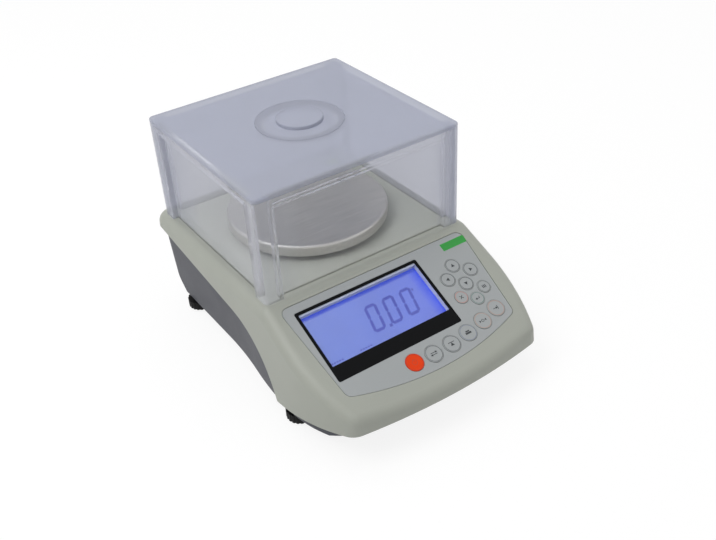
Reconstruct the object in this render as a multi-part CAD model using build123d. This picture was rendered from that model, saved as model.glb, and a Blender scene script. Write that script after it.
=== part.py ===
from build123d import *
import os
from math import asin, atan2, cos, pi, radians, sin, tan

# Precision scale with a draft shield. Millimetres, +Z up, +Y to the rear.
# The origin is on the table, in the middle of the body.

# Heights above the table
GROUND_CLEARANCE = 12.0
PLATFORM_HEIGHT = 84.0
LIP_HEIGHT = 28.0

# Outline of the moulded body, seen from above at the height of the front lip
SKIRT_WIDTH = 200.5
FRONT_NARROWING = 32.5
FRONT_BOW = 8.0
FLANK_LENGTH = 68.0
REAR_CORNER_RADIUS = 16.0
FRONT_CORNER_RADIUS = 12.0
COVER_DRAFT = 5.0
SHOULDER_RADIUS = 9.0
COVER_WALL = 2.5

# Layout along the body, from the rear edge of the platform to the nose
REAR_MARGIN = 10.0
PANEL_SETBACK = 1.5
PANEL_SLOPE = 24.3
PANEL_EDGE_RADIUS = 12.0
NOSE_RUN = 14.0

# S-shaped parting line between the top cover and the bottom housing
PARTING_REAR_HEIGHT = 75.0
PARTING_SLOPE = 6.0
PARTING_CURVE_REACH = 44.0
PARTING_CURVE_DROP = 36.0
PARTING_CURVE_RUN = 59.0
PARTING_GAP = 0.5
SKIRT_LOW_HEIGHT = 15.0
TONGUE_HEIGHT = 4.0
TONGUE_CLEARANCE = 0.4

# Bottom housing
BASE_NARROWING = 18.5
BASE_FLARE = 7.0
BASE_FLARE_LENGTH = 100.0
BASE_FRONT_NARROWING = 26.0
BASE_FRONT_SETBACK = 8.0
BASE_REAR_REVEAL = 2.2
BASE_DRAFT = 3.4
BASE_WALL = 3.0
BASE_FLOOR = 3.0
CHIN_LENGTH = 34.0
STERN_LENGTH = 25.0
STERN_HEIGHT = 30.0
STERN_RADIUS = 12.0
RIB_THICKNESS = 2.0
RIB_HEIGHT = 5.0

# Draft shield
SHIELD_SIDE_MARGIN = 5.85
PAN_SIDE_GAP = 18.5
SHIELD_HEIGHT = 88.0
SHIELD_CORNER_RADIUS = 4.0
SHIELD_EDGE_RADIUS = 1.5
SHIELD_WALL = 2.0
SHIELD_ROOF = 3.0
POST_WIDTH = 15.0
WALL_RECESS = 4.5
BAND_HEIGHT = 12.5
BAND_STEP_HEIGHT = 8.0
BAND_STEP_DEPTH = 2.0

# Round lid in the roof of the draft shield
LID_DIAMETER = 69.0
LID_FLANGE = 1.5
LID_PLUG_DIAMETER = 59.0
LID_PLUG_DEPTH = 2.5
LID_CLEARANCE = 0.3
GRIP_DIAMETER = 37.0
GRIP_HEIGHT = 3.0
GRIP_EDGE = 1.0

# Weighing pan and what carries it
PAN_DIAMETER = 130.0
PAN_TOP_GAP = 14.0
PAN_RIM = 9.0
PAN_SHEET = 1.0
PAN_EDGE_RADIUS = 2.2
PAN_RING_WALL = 1.5
PAN_RING_CLEARANCE = 0.4
PAN_RING_GAP = 0.4
HUB_RISE = 1.5
CUSHION_DIAMETER = 10.0
CUSHION_HEIGHT = 3.5
CUSHION_SEAT = 1.0
ARM_THICKNESS = 4.0
ARM_WIDTH = 13.0
ARM_INSET = 19.0
HUB_DIAMETER = 26.0
HUB_HEIGHT = 8.0
POST_DIAMETER = 10.0
POST_FLANGE_DIAMETER = 24.0
POST_FLANGE = 3.0
COLLAR_BORE = 18.0
COLLAR_WALL = 2.0
COLLAR_HEIGHT = 2.5
SHAFT_FIT = 0.05

# Load cell, along Y under the pan and as long as the pan is wide
CELL_WIDTH = 30.0
CELL_HEIGHT = 22.0
CELL_BORE = 14.0
CELL_BORE_SPACING = 40.0
CELL_SLOT = 5.0
CELL_END_PAD = 30.0
MOUNT_BLOCK_HEIGHT = 8.0
MOUNT_PAD_HEIGHT = 4.0
MOUNT_PAD_MARGIN = 3.0
BRIDGE_THICKNESS = 5.0
BRIDGE_STEP = 2.0
CELL_SCREW_DIAMETER = 5.0
CELL_SCREW_SPACING = 15.0
CELL_SCREW_GRIP = 12.0
STOP_DIAMETER = 6.0
STOP_GAP = 0.6

# Control panel
OVERLAY_TOP = 6.5
OVERLAY_SIDE_MARGIN = 16.25
OVERLAY_TAPER = 15.0
OVERLAY_BOW = 12.5
OVERLAY_CORNER_RADIUS = 6.0
OVERLAY_THICKNESS = 0.8
OVERLAY_SINK = 0.2
OVERLAY_GAP = 0.4
KEY_FIELD = 24.6

# Display
BEZEL_LEFT = 8.6
BEZEL_DROP = 6.8
KEYPAD_WIDTH = 58.0
BEZEL_HEIGHT = 61.5
BEZEL_BORDER = 2.4
BEZEL_BAND = 12.4
BEZEL_RADIUS = 1.5
WINDOW_GAP = 0.15
TUNNEL_WALL = 1.6
DISPLAY_DEPTH = 5.0
GLASS_THICKNESS = 1.8
BACKLIGHT_THICKNESS = 2.7
FRAME_GAP = 0.3
GLASS_OVERLAP = 0.8
GLASS_GAP = 0.2

# Keys
ROW_SETBACK = 11.8
ROW_PITCH = 17.0
ROW_END_INSET = 10.856
ROW_COUNT = 6
ROW_KEY_DIAMETER = 14.0
ARROW_KEY_DIAMETER = 12.0
SMALL_KEY_DIAMETER = 11.0
PAD_CENTRE_INSET = 25.9
PAD_TOP_DROP = 25.0
PAD_PITCH_X = 11.2
PAD_PITCH_U = 9.0
SMALL_ROW_DROP = 8.6
ENTER_KEY_DROP = 6.3
KEY_GAP = 0.3
KEY_CAP = 0.8
KEY_RISE = 0.4
KEY_EDGE = 0.3
KEY_TRAVEL = 0.3
STEM_DIAMETER = 5.0
STEM_GAP = 0.4
DOME_DIAMETER = 8.4
DOME_HEIGHT = 0.4
DOME_GAP = 0.1

# Front circuit board
BOARD_THICKNESS = 1.6
FRONT_BOARD_MARGIN = 8.0
FRONT_BOARD_TOP = 9.0
FRONT_BOARD_BOTTOM = 4.0
FRONT_BOSS_DIAMETER = 6.0
FRONT_BOSS_INSET = 5.0
FRONT_BOSS_LOW = 8.0
FRONT_BOSS_RISE = 7.0

# Main circuit board
MAIN_BOARD_SIDE_GAP = 20.0
MAIN_BOARD_LENGTH = 96.0
MAIN_BOARD_LEFT = 19.0
MAIN_BOARD_REAR_GAP = 6.0
MAIN_BOARD_TAIL = 22.0
BOARD_SCREW_GRIP = 7.0
BOARD_SCREW_HEAD = 2.0
PROCESSOR_SIDE = 12.0
PROCESSOR_HEIGHT = 1.6
PROCESSOR_PLACE = 0.69
PROCESSOR_Y = 36.0
CAN_WIDTH = 20.0
CAN_LENGTH = 16.0
CAN_HEIGHT = 4.0
CAN_PLACE = 0.5
CAN_Y = 18.0
REGULATOR_WIDTH = 8.0
REGULATOR_LENGTH = 10.0
REGULATOR_HEIGHT = 3.0
REGULATOR_PLACE = 0.27
REGULATOR_Y = 41.0
CAPACITOR_DIAMETER = 8.0
CAPACITOR_HEIGHT = 12.0
CAPACITOR_PLACE = 0.25
CAPACITOR_Y = 56.0
CAPACITOR_PITCH = 11.0
STANDOFF_HEIGHT = 31.0
STANDOFF_DIAMETER = 6.5
STANDOFF_INSET = 5.0

# Connectors in the rear wall
JACK_WIDTH = 9.0
JACK_HEIGHT = 11.0
JACK_LENGTH = 14.0
JACK_BORE = 6.4
JACK_PIN = 2.0
SERIAL_WIDTH = 31.0
SERIAL_HEIGHT = 12.5
SERIAL_FLANGE = 1.0
SERIAL_BODY_LENGTH = 11.0
SERIAL_SHELL_WIDTH = 17.0
SERIAL_SHELL_HEIGHT = 8.4
SERIAL_SHELL_LENGTH = 6.0
SERIAL_SHELL_LEAN = 1.5
CONNECTOR_GAP = 0.4
CONNECTOR_SPACING = 28.0
SERIAL_SHIFT = 4.0

# Feet
REAR_FOOT_INSET = 8.0
FRONT_FOOT_INSET = 3.0
REAR_FOOT_SETBACK = 38.0
FRONT_FOOT_ADVANCE = 30.0
WHEEL_DIAMETER = 22.0
WHEEL_HEIGHT = 7.0
WHEEL_SCALLOPS = 20
FLUTE_SHARE = 0.7
FLUTE_OFFSET = 0.2
PAD_DIAMETER = 17.0
PAD_THICKNESS = 3.0
PAD_RECESS = 1.0
PAD_GAP = 0.25
STUD_DIAMETER = 8.0
STUD_LENGTH = 18.0
INSERT_DIAMETER = 12.0
INSERT_HEIGHT = 12.0
FOOT_BOSS_WALL = 2.5

# Housing screws
SCREW_DIAMETER = 3.0
SCREW_HEAD_DIAMETER = 6.0
SCREW_HEAD_HEIGHT = 2.5
SCREW_CLEARANCE = 0.2
SCREW_BITE = 10.0
SCREW_POST_DIAMETER = 10.0
SCREW_POST_TOP = 34.0
SCREW_POST_WEB = 4.0
SCREW_SIDE_INSET = 6.0
SCREW_REAR_ADVANCE = 24.0
SCREW_MIDDLE_ADVANCE = 108.0
SCREW_FRONT_ADVANCE = 24.0

# Spirit level
LEVEL_DIAMETER = 14.0
LEVEL_FLANGE_DIAMETER = 17.0
LEVEL_FLANGE = 1.2
LEVEL_DEPTH = 8.0
LEVEL_CUP_WALL = 1.2
LEVEL_SIDE_INSET = 23.5
LEVEL_REAR_INSET = 21.5
LEVEL_GAP = 0.2

# Sizes worked out from the ones above
slope = radians(PANEL_SLOPE)
cover_lean = tan(radians(COVER_DRAFT))
base_lean = tan(radians(BASE_DRAFT))
floor_top = GROUND_CLEARANCE + BASE_FLOOR
overlay_front = OVERLAY_TOP + BEZEL_DROP + BEZEL_HEIGHT + KEY_FIELD
panel_run = overlay_front * cos(slope)

skirt_flare = (PLATFORM_HEIGHT - LIP_HEIGHT) * cover_lean
front_width = SKIRT_WIDTH - FRONT_NARROWING
base_width = SKIRT_WIDTH - BASE_NARROWING
base_front_width = base_width - BASE_FRONT_NARROWING
shield_width = SKIRT_WIDTH - 2 * skirt_flare - 2 * SHIELD_SIDE_MARGIN
shield_depth = PAN_DIAMETER + 2 * PAN_SIDE_GAP
cell_length = PAN_DIAMETER
arm_reach = PAN_DIAMETER / 2 - ARM_INSET
body_length = skirt_flare + REAR_MARGIN + shield_depth + PANEL_SETBACK + panel_run + NOSE_RUN
parting_overhang = (PARTING_REAR_HEIGHT - LIP_HEIGHT) * cover_lean
body_front = -(body_length - parting_overhang) / 2
body_rear = body_front + body_length
platform_rear = body_rear - skirt_flare

shield_y = platform_rear - REAR_MARGIN - shield_depth / 2
level_x = shield_width / 2 - LEVEL_SIDE_INSET
level_y = shield_y + shield_depth / 2 - LEVEL_REAR_INSET
base_rise = (PARTING_REAR_HEIGHT - GROUND_CLEARANCE) * base_lean
base_rear = body_rear - parting_overhang - BASE_REAR_REVEAL - base_rise
panel_top_y = shield_y - shield_depth / 2 - PANEL_SETBACK

overlay_top_width = SKIRT_WIDTH - 2 * OVERLAY_SIDE_MARGIN
overlay_front_width = overlay_top_width - OVERLAY_TAPER
bezel_width = overlay_top_width - KEYPAD_WIDTH
front_board_width = overlay_top_width - 2 * FRONT_BOARD_MARGIN
main_board_width = base_width / 2 - MAIN_BOARD_LEFT - MAIN_BOARD_SIDE_GAP

overlay_floor = -OVERLAY_SINK - OVERLAY_THICKNESS
glass_top = -OVERLAY_SINK - DISPLAY_DEPTH
board_top = glass_top - GLASS_THICKNESS - BACKLIGHT_THICKNESS

PANEL = Plane(origin=(0, panel_top_y, PLATFORM_HEIGHT), x_dir=(1, 0, 0), z_dir=(0, -sin(slope), cos(slope)))


def save(node, shape):
    """Write one node to its STEP file."""
    export_step(shape, f"parts/{node}.step")


def disc(diameter, low, high, x=0.0, y=0.0):
    """Upright cylinder between two heights."""
    return Pos(x, y, (low + high) / 2) * Cylinder(diameter / 2, high - low)


def slab(x0, x1, y0, y1, z0, z1):
    """Rectangular block between six planes."""
    return Pos((x0 + x1) / 2, (y0 + y1) / 2, (z0 + z1) / 2) * Box(x1 - x0, y1 - y0, z1 - z0)


def on_panel(x, down, height=0.0):
    """Place on the control panel: across, down the slope, and out from its surface."""
    return PANEL.location * Pos(x, -down, height)


def panel_slab(x0, x1, u0, u1, w0, w1):
    """Block whose faces follow the control panel."""
    size = Box(x1 - x0, u1 - u0, w1 - w0)
    return on_panel((x0 + x1) / 2, (u0 + u1) / 2, (w0 + w1) / 2) * size


def panel_disc(diameter, x, down, low, high):
    """Cylinder square to the control panel."""
    return on_panel(x, down, (low + high) / 2) * Cylinder(diameter / 2, high - low)


# Body form shared by the two shells
def plan_outline():
    """Body outline from above at the height of the front lip."""
    half = SKIRT_WIDTH / 2
    front_half = front_width / 2
    corner_y = body_front + FRONT_BOW
    flank_y = corner_y + FLANK_LENGTH
    edges = Curve() + [
        Line((-half, body_rear), (half, body_rear)),
        Line((half, body_rear), (half, flank_y)),
        TangentArc((half, flank_y), (front_half, corner_y), tangent=(0, -1)),
        ThreePointArc((front_half, corner_y), (0, body_front), (-front_half, corner_y)),
        TangentArc((-half, flank_y), (-front_half, corner_y), tangent=(0, -1)),
        Line((-half, flank_y), (-half, body_rear)),
    ]
    face = make_face(edges)
    face = fillet(face.vertices().group_by(Axis.Y)[-1], REAR_CORNER_RADIUS)
    corners = face.vertices().filter_by(lambda v: abs(v.Y - corner_y) < 0.5)
    return fillet(corners, FRONT_CORNER_RADIUS)


def base_outline():
    """Outline of the bottom housing at its underside, flared towards the front feet."""
    half = base_width / 2
    wide = half + BASE_FLARE
    front_half = base_front_width / 2
    front = body_front + BASE_FRONT_SETBACK
    corner_y = front + FRONT_BOW
    flank_y = body_front + FRONT_BOW + FLANK_LENGTH
    flare_y = flank_y + BASE_FLARE_LENGTH
    middle = ((half + wide) / 2, (flank_y + flare_y) / 2)
    edges = Curve() + [Line((-half, base_rear), (half, base_rear))]
    for side in (-1, 1):
        edges += [
            Line((side * half, base_rear), (side * half, flare_y)),
            TangentArc((side * half, flare_y), (side * middle[0], middle[1]), tangent=(0, -1)),
            TangentArc((side * wide, flank_y), (side * middle[0], middle[1]), tangent=(0, 1)),
            TangentArc((side * wide, flank_y), (side * front_half, corner_y), tangent=(0, -1)),
        ]
    edges += [ThreePointArc((front_half, corner_y), (0, front), (-front_half, corner_y))]
    face = make_face(edges)
    face = fillet(face.vertices().group_by(Axis.Y)[-1], REAR_CORNER_RADIUS)
    corners = face.vertices().filter_by(lambda v: abs(v.Y - corner_y) < 0.5)
    return fillet(corners, FRONT_CORNER_RADIUS)


def side_profile(inset):
    """Region under the platform and the panel, seen from the side."""
    knee_y = panel_top_y + inset * tan(slope / 2)
    knee_z = PLATFORM_HEIGHT - inset
    reach = 2 * body_length
    edges = Polyline(
        (reach, -reach),
        (reach, knee_z),
        (knee_y, knee_z),
        (knee_y - reach * cos(slope), knee_z - reach * sin(slope)),
        (knee_y - reach * cos(slope), -reach),
        close=True,
    )
    face = make_face(edges)
    knee = face.vertices().sort_by_distance((knee_y, knee_z))[0]
    return Plane.YZ * fillet(knee, PANEL_EDGE_RADIUS - inset)


def drafted(outline, low, high, low_growth, high_growth):
    """Solid between two heights whose walls lean, from an outline grown by a different amount at each."""
    faces = []
    for height, growth in ((low, low_growth), (high, high_growth)):
        grown = offset(outline, amount=growth, kind=Kind.INTERSECTION) if growth else outline
        faces.append((Pos(0, 0, height) * grown).face())
    return loft(faces, ruled=True)


def body_form(inset):
    """Drafted body with a rounded shoulder, drawn inwards by an inset."""
    top_growth = -skirt_flare - inset
    block = drafted(plan_outline(), 0, PLATFORM_HEIGHT, top_growth + PLATFORM_HEIGHT * cover_lean, top_growth)
    form = block & extrude(side_profile(inset), amount=SKIRT_WIDTH, both=True)
    return fillet(shoulder_edges(form, inset), SHOULDER_RADIUS - inset)


def shoulder_edges(form, inset):
    """Closed ring of edges where the walls meet the platform, the panel and the nose."""
    found = []
    for edge in form.edges():
        lowest = min((edge @ 0).Z, (edge @ 1).Z)
        middle = edge @ 0.5
        crease = abs(middle.X) < 1 and abs(middle.Y - panel_top_y) < PANEL_EDGE_RADIUS
        if lowest > 1 and not crease:
            found.append(edge)
    return found


def parting_region(lift):
    """Region below the parting line seen from the side, raised by a lift."""
    rear = body_rear + REAR_MARGIN
    curve_y = panel_top_y + PARTING_CURVE_REACH
    fall = tan(radians(PARTING_SLOPE))
    curve_z = PARTING_REAR_HEIGHT - (rear - curve_y) * fall
    end_y = curve_y - PARTING_CURVE_RUN
    end_z = curve_z - PARTING_CURVE_DROP
    turn = 2 * atan2(PARTING_CURVE_DROP, PARTING_CURVE_RUN) - radians(PARTING_SLOPE)
    foot_y = end_y - (end_z - SKIRT_LOW_HEIGHT) / tan(turn)
    front = body_front - REAR_MARGIN
    lip_fall = (LIP_HEIGHT - SKIRT_LOW_HEIGHT) / (foot_y - body_front)
    front_z = SKIRT_LOW_HEIGHT + (foot_y - front) * lip_fall
    low = -body_length
    edges = Curve() + [
        Line((rear, PARTING_REAR_HEIGHT), (curve_y, curve_z)),
        TangentArc((curve_y, curve_z), (end_y, end_z), tangent=(-cos(radians(PARTING_SLOPE)), -fall)),
        Line((end_y, end_z), (foot_y, SKIRT_LOW_HEIGHT)),
        Line((foot_y, SKIRT_LOW_HEIGHT), (front, front_z)),
        Line((front, front_z), (front, low)),
        Line((front, low), (rear, low)),
        Line((rear, low), (rear, PARTING_REAR_HEIGHT)),
    ]
    face = Plane.YZ * make_face(edges)
    return Pos(0, 0, lift) * extrude(face, amount=SKIRT_WIDTH, both=True)


# Places shared by several pieces
def key_layout():
    """Name, place across, place down the panel and diameter of each key."""
    rows = []
    radius = overlay_bow_radius()
    centre_u = overlay_front - radius
    row_radius = radius - ROW_SETBACK
    last = asin((overlay_front_width / 2 - ROW_END_INSET) / row_radius)
    names = ["power_key", "mode_key", "unit_key", "print_key", "zero_key", "tare_key"]
    for index in range(ROW_COUNT):
        angle = last - (ROW_COUNT - 1 - index) * ROW_PITCH / row_radius
        x = row_radius * sin(angle)
        u = centre_u + row_radius * cos(angle)
        rows.append((names[index], x, u, ROW_KEY_DIAMETER))
    x = overlay_top_width / 2 - PAD_CENTRE_INSET
    u = OVERLAY_TOP + PAD_TOP_DROP
    low = u + 2 * PAD_PITCH_U
    rows.append(("up_key", x, u, ARROW_KEY_DIAMETER))
    rows.append(("left_key", x - PAD_PITCH_X, u + PAD_PITCH_U, ARROW_KEY_DIAMETER))
    rows.append(("right_key", x + PAD_PITCH_X, u + PAD_PITCH_U, ARROW_KEY_DIAMETER))
    rows.append(("down_key", x, low, ARROW_KEY_DIAMETER))
    rows.append(("clear_key", x - PAD_PITCH_X, low + SMALL_ROW_DROP, SMALL_KEY_DIAMETER))
    rows.append(("count_key", x + PAD_PITCH_X, low + SMALL_ROW_DROP, SMALL_KEY_DIAMETER))
    rows.append(("enter_key", x, low + SMALL_ROW_DROP + ENTER_KEY_DROP, SMALL_KEY_DIAMETER))
    return rows


def overlay_bow_radius():
    """Radius of the overlay's bowed front edge."""
    half = overlay_front_width / 2
    return (half * half + OVERLAY_BOW * OVERLAY_BOW) / (2 * OVERLAY_BOW)


def bezel_box():
    """Left, right, top and bottom of the display bezel on the panel."""
    left = -overlay_top_width / 2 + BEZEL_LEFT
    top = OVERLAY_TOP + BEZEL_DROP
    return left, left + bezel_width, top, top + BEZEL_HEIGHT


def opening_box():
    """Left, right, top and bottom of the clear opening in the bezel."""
    left, right, top, bottom = bezel_box()
    return left + BEZEL_BORDER, right - BEZEL_BORDER, top + BEZEL_BORDER, bottom - BEZEL_BAND


def tunnel_box():
    """Left, right, top and bottom of the space inside the display frame."""
    left, right, top, bottom = opening_box()
    return left + 0.5, right + 0.1, top + 1.3, bottom + 1.2


def foot_places():
    """Places of the four feet."""
    rear = platform_rear - REAR_FOOT_SETBACK
    front = panel_top_y - FRONT_FOOT_ADVANCE
    rear_x = base_width / 2 - REAR_FOOT_INSET
    front_x = base_width / 2 - FRONT_FOOT_INSET
    return {
        "rear_left": (-rear_x, rear),
        "rear_right": (rear_x, rear),
        "front_left": (-front_x, front),
        "front_right": (front_x, front),
    }


def screw_places():
    """Places of the six screws that hold the two shells together."""
    half = base_width / 2 - SCREW_SIDE_INSET
    rear_foot = platform_rear - REAR_FOOT_SETBACK
    front_foot = panel_top_y - FRONT_FOOT_ADVANCE
    rear = rear_foot - SCREW_REAR_ADVANCE
    middle = rear_foot - SCREW_MIDDLE_ADVANCE
    front = front_foot - SCREW_FRONT_ADVANCE
    return [(side * half, y) for side in (-1, 1) for y in (rear, middle, front)]


def cell_ends():
    """Front and rear ends of the load cell."""
    return shield_y - cell_length / 2, shield_y + cell_length / 2


def cell_screw_places(end):
    """Places of the screws at one end of the load cell."""
    front, rear = cell_ends()
    middle = (front if end == "front" else rear) + (1 if end == "front" else -1) * CELL_END_PAD / 2
    return [(0, middle - CELL_SCREW_SPACING / 2), (0, middle + CELL_SCREW_SPACING / 2)]


block_low = floor_top + MOUNT_PAD_HEIGHT
cell_low = block_low + MOUNT_BLOCK_HEIGHT
cell_high = cell_low + CELL_HEIGHT
bridge_low = cell_high + BRIDGE_STEP
bridge_high = bridge_low + BRIDGE_THICKNESS
pan_top = PLATFORM_HEIGHT + PAN_TOP_GAP
cushion_top = pan_top - PAN_SHEET
arm_top = cushion_top - CUSHION_HEIGHT + CUSHION_SEAT
hub_top = arm_top + HUB_RISE


# Top cover: thin moulded shell, with bosses for the screws and the front board
def overlay_outline(grow=0.0):
    """Outline of the keypad overlay on the panel."""
    top_half = overlay_top_width / 2
    front_half = overlay_front_width / 2
    corner = overlay_front - OVERLAY_BOW
    edges = Curve() + [
        Line((-top_half, -OVERLAY_TOP), (top_half, -OVERLAY_TOP)),
        Line((top_half, -OVERLAY_TOP), (front_half, -corner)),
        ThreePointArc((front_half, -corner), (0, -overlay_front), (-front_half, -corner)),
        Line((-front_half, -corner), (-top_half, -OVERLAY_TOP)),
    ]
    face = make_face(edges)
    face = fillet(face.vertices(), OVERLAY_CORNER_RADIUS)
    if grow:
        face = offset(face, amount=grow, kind=Kind.INTERSECTION)
    return face


def front_board_bosses():
    """Places of the bosses that hold the front board."""
    half = front_board_width / 2 - FRONT_BOSS_INSET
    top = FRONT_BOARD_TOP + FRONT_BOSS_INSET
    left, right, bezel_top, bezel_bottom = bezel_box()
    return [(-half, bezel_bottom + FRONT_BOSS_LOW), (half, top), (half + 2, bezel_bottom - FRONT_BOSS_RISE),
            (right + FRONT_BOSS_INSET, top)]


def top_cover():
    """Ivory shell with the platform, the sloped panel and the nose."""
    outer = body_form(0)
    inner = body_form(COVER_WALL)
    posts = Part()
    for x, y in screw_places():
        posts += disc(SCREW_POST_DIAMETER, SCREW_POST_TOP, PLATFORM_HEIGHT, x, y)
    for x, u in front_board_bosses():
        posts += panel_disc(FRONT_BOSS_DIAMETER, x, u, board_top, 0)
    collar = COLLAR_BORE + 2 * COLLAR_WALL
    posts += disc(collar, PLATFORM_HEIGHT - 3 * COLLAR_HEIGHT, PLATFORM_HEIGHT, 0, shield_y)
    shell = outer - inner + (posts & outer)
    shell += disc(collar, PLATFORM_HEIGHT - COLLAR_WALL, PLATFORM_HEIGHT + COLLAR_HEIGHT, 0, shield_y)
    shell -= parting_region(0)
    shell -= disc(COLLAR_BORE, 0, 2 * PLATFORM_HEIGHT, 0, shield_y)
    shell -= disc(LEVEL_DIAMETER + 2 * LEVEL_GAP, 0, 2 * PLATFORM_HEIGHT, level_x, level_y)
    for x, y in screw_places():
        shell -= disc(SCREW_DIAMETER + 2 * SHAFT_FIT, 0, SCREW_POST_TOP + SCREW_BITE + 1, x, y)
    for x, u in front_board_bosses():
        shell -= panel_disc(SCREW_DIAMETER, x, u, board_top - 1, board_top + 6)
    recess = extrude(overlay_outline(OVERLAY_GAP), amount=OVERLAY_THICKNESS + OVERLAY_SINK + 5)
    shell -= PANEL.location * Pos(0, 0, overlay_floor) * recess
    left, right, top, bottom = tunnel_box()
    wall = TUNNEL_WALL + FRAME_GAP
    shell -= panel_slab(left - wall, right + wall, top - wall, bottom + wall, board_top - 1, 1)
    for name, x, u, diameter in key_layout():
        shell -= panel_disc(STEM_DIAMETER + 2 * STEM_GAP, x, u, board_top, 1)
    return shell


# Bottom housing: drafted tray with ribs, posts, foot bosses and the rear wall
def base_side(inset):
    """Side view of the tray: chin, flat underside, stern ramp and rear wall."""
    chin_y = body_front + CHIN_LENGTH
    chin_rise = LIP_HEIGHT - GROUND_CLEARANCE
    stern_top = GROUND_CLEARANCE + STERN_HEIGHT
    stern_y = rear_wall_y(stern_top)
    high = 2 * PLATFORM_HEIGHT
    edges = Polyline(
        (chin_y, GROUND_CLEARANCE),
        (chin_y - 2 * CHIN_LENGTH, GROUND_CLEARANCE + 2 * chin_rise),
        (chin_y - 2 * CHIN_LENGTH, high),
        (rear_wall_y(high), high),
        (stern_y, stern_top),
        (stern_y - STERN_LENGTH, GROUND_CLEARANCE),
        close=True,
    )
    face = make_face(edges)
    corner = face.vertices().sort_by_distance((stern_y, stern_top))[0]
    face = fillet(corner, STERN_RADIUS)
    if inset:
        face = offset(face, amount=-inset, kind=Kind.INTERSECTION)
    return Plane.YZ * face


def base_form(inset):
    """Drafted tray form, drawn inwards by an inset."""
    top = PARTING_REAR_HEIGHT + TONGUE_HEIGHT
    lean = (top - GROUND_CLEARANCE) * base_lean
    form = drafted(base_outline(), GROUND_CLEARANCE, top, -inset, lean - inset)
    return form & extrude(base_side(inset), amount=SKIRT_WIDTH, both=True)


def floor_ribs():
    """Stiffening ribs under the load cell and across the floor."""
    ribs = Part()
    top = floor_top + RIB_HEIGHT
    half = base_width / 2 - BASE_WALL
    front, rear = cell_ends()
    side = CELL_WIDTH / 2 + RIB_THICKNESS
    for x in (-side, side):
        ribs += slab(x - RIB_THICKNESS / 2, x + RIB_THICKNESS / 2, front, rear, floor_top, top)
    for y in (front, panel_top_y - FRONT_FOOT_ADVANCE):
        ribs += slab(-half, half, y - RIB_THICKNESS / 2, y + RIB_THICKNESS / 2, floor_top, top)
    return ribs


def connector_places():
    """Across and up of the power inlet and of the serial port."""
    board_z = floor_top + STANDOFF_HEIGHT + BOARD_THICKNESS
    middle = -MAIN_BOARD_LEFT - main_board_width / 2
    jack = (middle - CONNECTOR_SPACING / 2, board_z + JACK_HEIGHT / 2)
    serial = (middle + CONNECTOR_SPACING / 2 - SERIAL_SHIFT, board_z + SERIAL_HEIGHT / 2)
    return jack, serial


def rear_wall_y(z):
    """Outer face of the rear wall of the bottom housing at a height."""
    return base_rear + (z - GROUND_CLEARANCE) * base_lean


def bottom_housing():
    """Dark tray below the parting line."""
    outer = base_form(0)
    inner = base_form(BASE_WALL)
    shell = outer - inner
    below = parting_region(-PARTING_GAP)
    tongue = shell & body_form(COVER_WALL + TONGUE_CLEARANCE) & parting_region(TONGUE_HEIGHT)
    shell = (shell & below) + tongue
    fittings = floor_ribs()
    for x, y in foot_places().values():
        boss = INSERT_DIAMETER + 2 * FOOT_BOSS_WALL
        fittings += disc(boss, GROUND_CLEARANCE, floor_top + INSERT_HEIGHT, x, y)
    for x, y in screw_places():
        fittings += disc(SCREW_POST_DIAMETER, GROUND_CLEARANCE, SCREW_POST_TOP, x, y)
    for x, y in standoff_places():
        fittings += disc(STANDOFF_DIAMETER, GROUND_CLEARANCE, floor_top + STANDOFF_HEIGHT, x, y)
    cell_front, cell_rear = cell_ends()
    margin = MOUNT_PAD_MARGIN
    fittings += slab(-CELL_WIDTH / 2 - margin, CELL_WIDTH / 2 + margin, cell_rear - CELL_END_PAD - margin,
                     cell_rear + margin, GROUND_CLEARANCE, block_low)
    shell += fittings & outer
    for x, y in foot_places().values():
        shell -= disc(INSERT_DIAMETER + 2 * SHAFT_FIT, floor_top, floor_top + INSERT_HEIGHT + 1, x, y)
        shell -= disc(STUD_DIAMETER + 1, 0, floor_top + 1, x, y)
    for x, y in screw_places():
        shell -= disc(SCREW_HEAD_DIAMETER + 1, 0, SCREW_POST_TOP - SCREW_POST_WEB, x, y)
        shell -= disc(SCREW_DIAMETER + 2 * SCREW_CLEARANCE, 0, SCREW_POST_TOP + 1, x, y)
    for x, y in standoff_places():
        shell -= disc(SCREW_DIAMETER, floor_top, floor_top + STANDOFF_HEIGHT + 1, x, y)
    for x, y in cell_screw_places("rear"):
        shell -= disc(CELL_SCREW_DIAMETER + 2 * SCREW_CLEARANCE, 0, PLATFORM_HEIGHT, x, y)
        shell -= disc(CELL_SCREW_DIAMETER * 1.7 + 1, 0, GROUND_CLEARANCE + CELL_SCREW_DIAMETER, x, y)
    (jack_x, jack_z), (serial_x, serial_z) = connector_places()
    reach = 2 * (body_rear - rear_wall_y(GROUND_CLEARANCE) + BASE_WALL + MAIN_BOARD_REAR_GAP)
    shell -= Pos(jack_x, body_rear, jack_z) * Rot(90, 0, 0) * Cylinder(JACK_BORE / 2 + CONNECTOR_GAP, reach)
    opening = Box(SERIAL_SHELL_WIDTH + 2 * CONNECTOR_GAP, reach, SERIAL_SHELL_HEIGHT + 2 * CONNECTOR_GAP)
    shell -= Pos(serial_x, body_rear, serial_z) * opening
    return shell


# Main board with what it carries
def main_board_box():
    """Left, right, front and rear of the main board."""
    rear = rear_wall_y(floor_top + STANDOFF_HEIGHT) - BASE_WALL - MAIN_BOARD_REAR_GAP
    return -MAIN_BOARD_LEFT - main_board_width, -MAIN_BOARD_LEFT, rear - MAIN_BOARD_LENGTH, rear


def standoff_places():
    """Places of the four standoffs under the main board."""
    left, right, front, rear = main_board_box()
    inset = STANDOFF_INSET
    return [(left + inset, front + inset), (right - inset, front + inset),
            (left + inset, rear - inset - MAIN_BOARD_TAIL), (right - inset, rear - inset - MAIN_BOARD_TAIL)]


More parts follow.
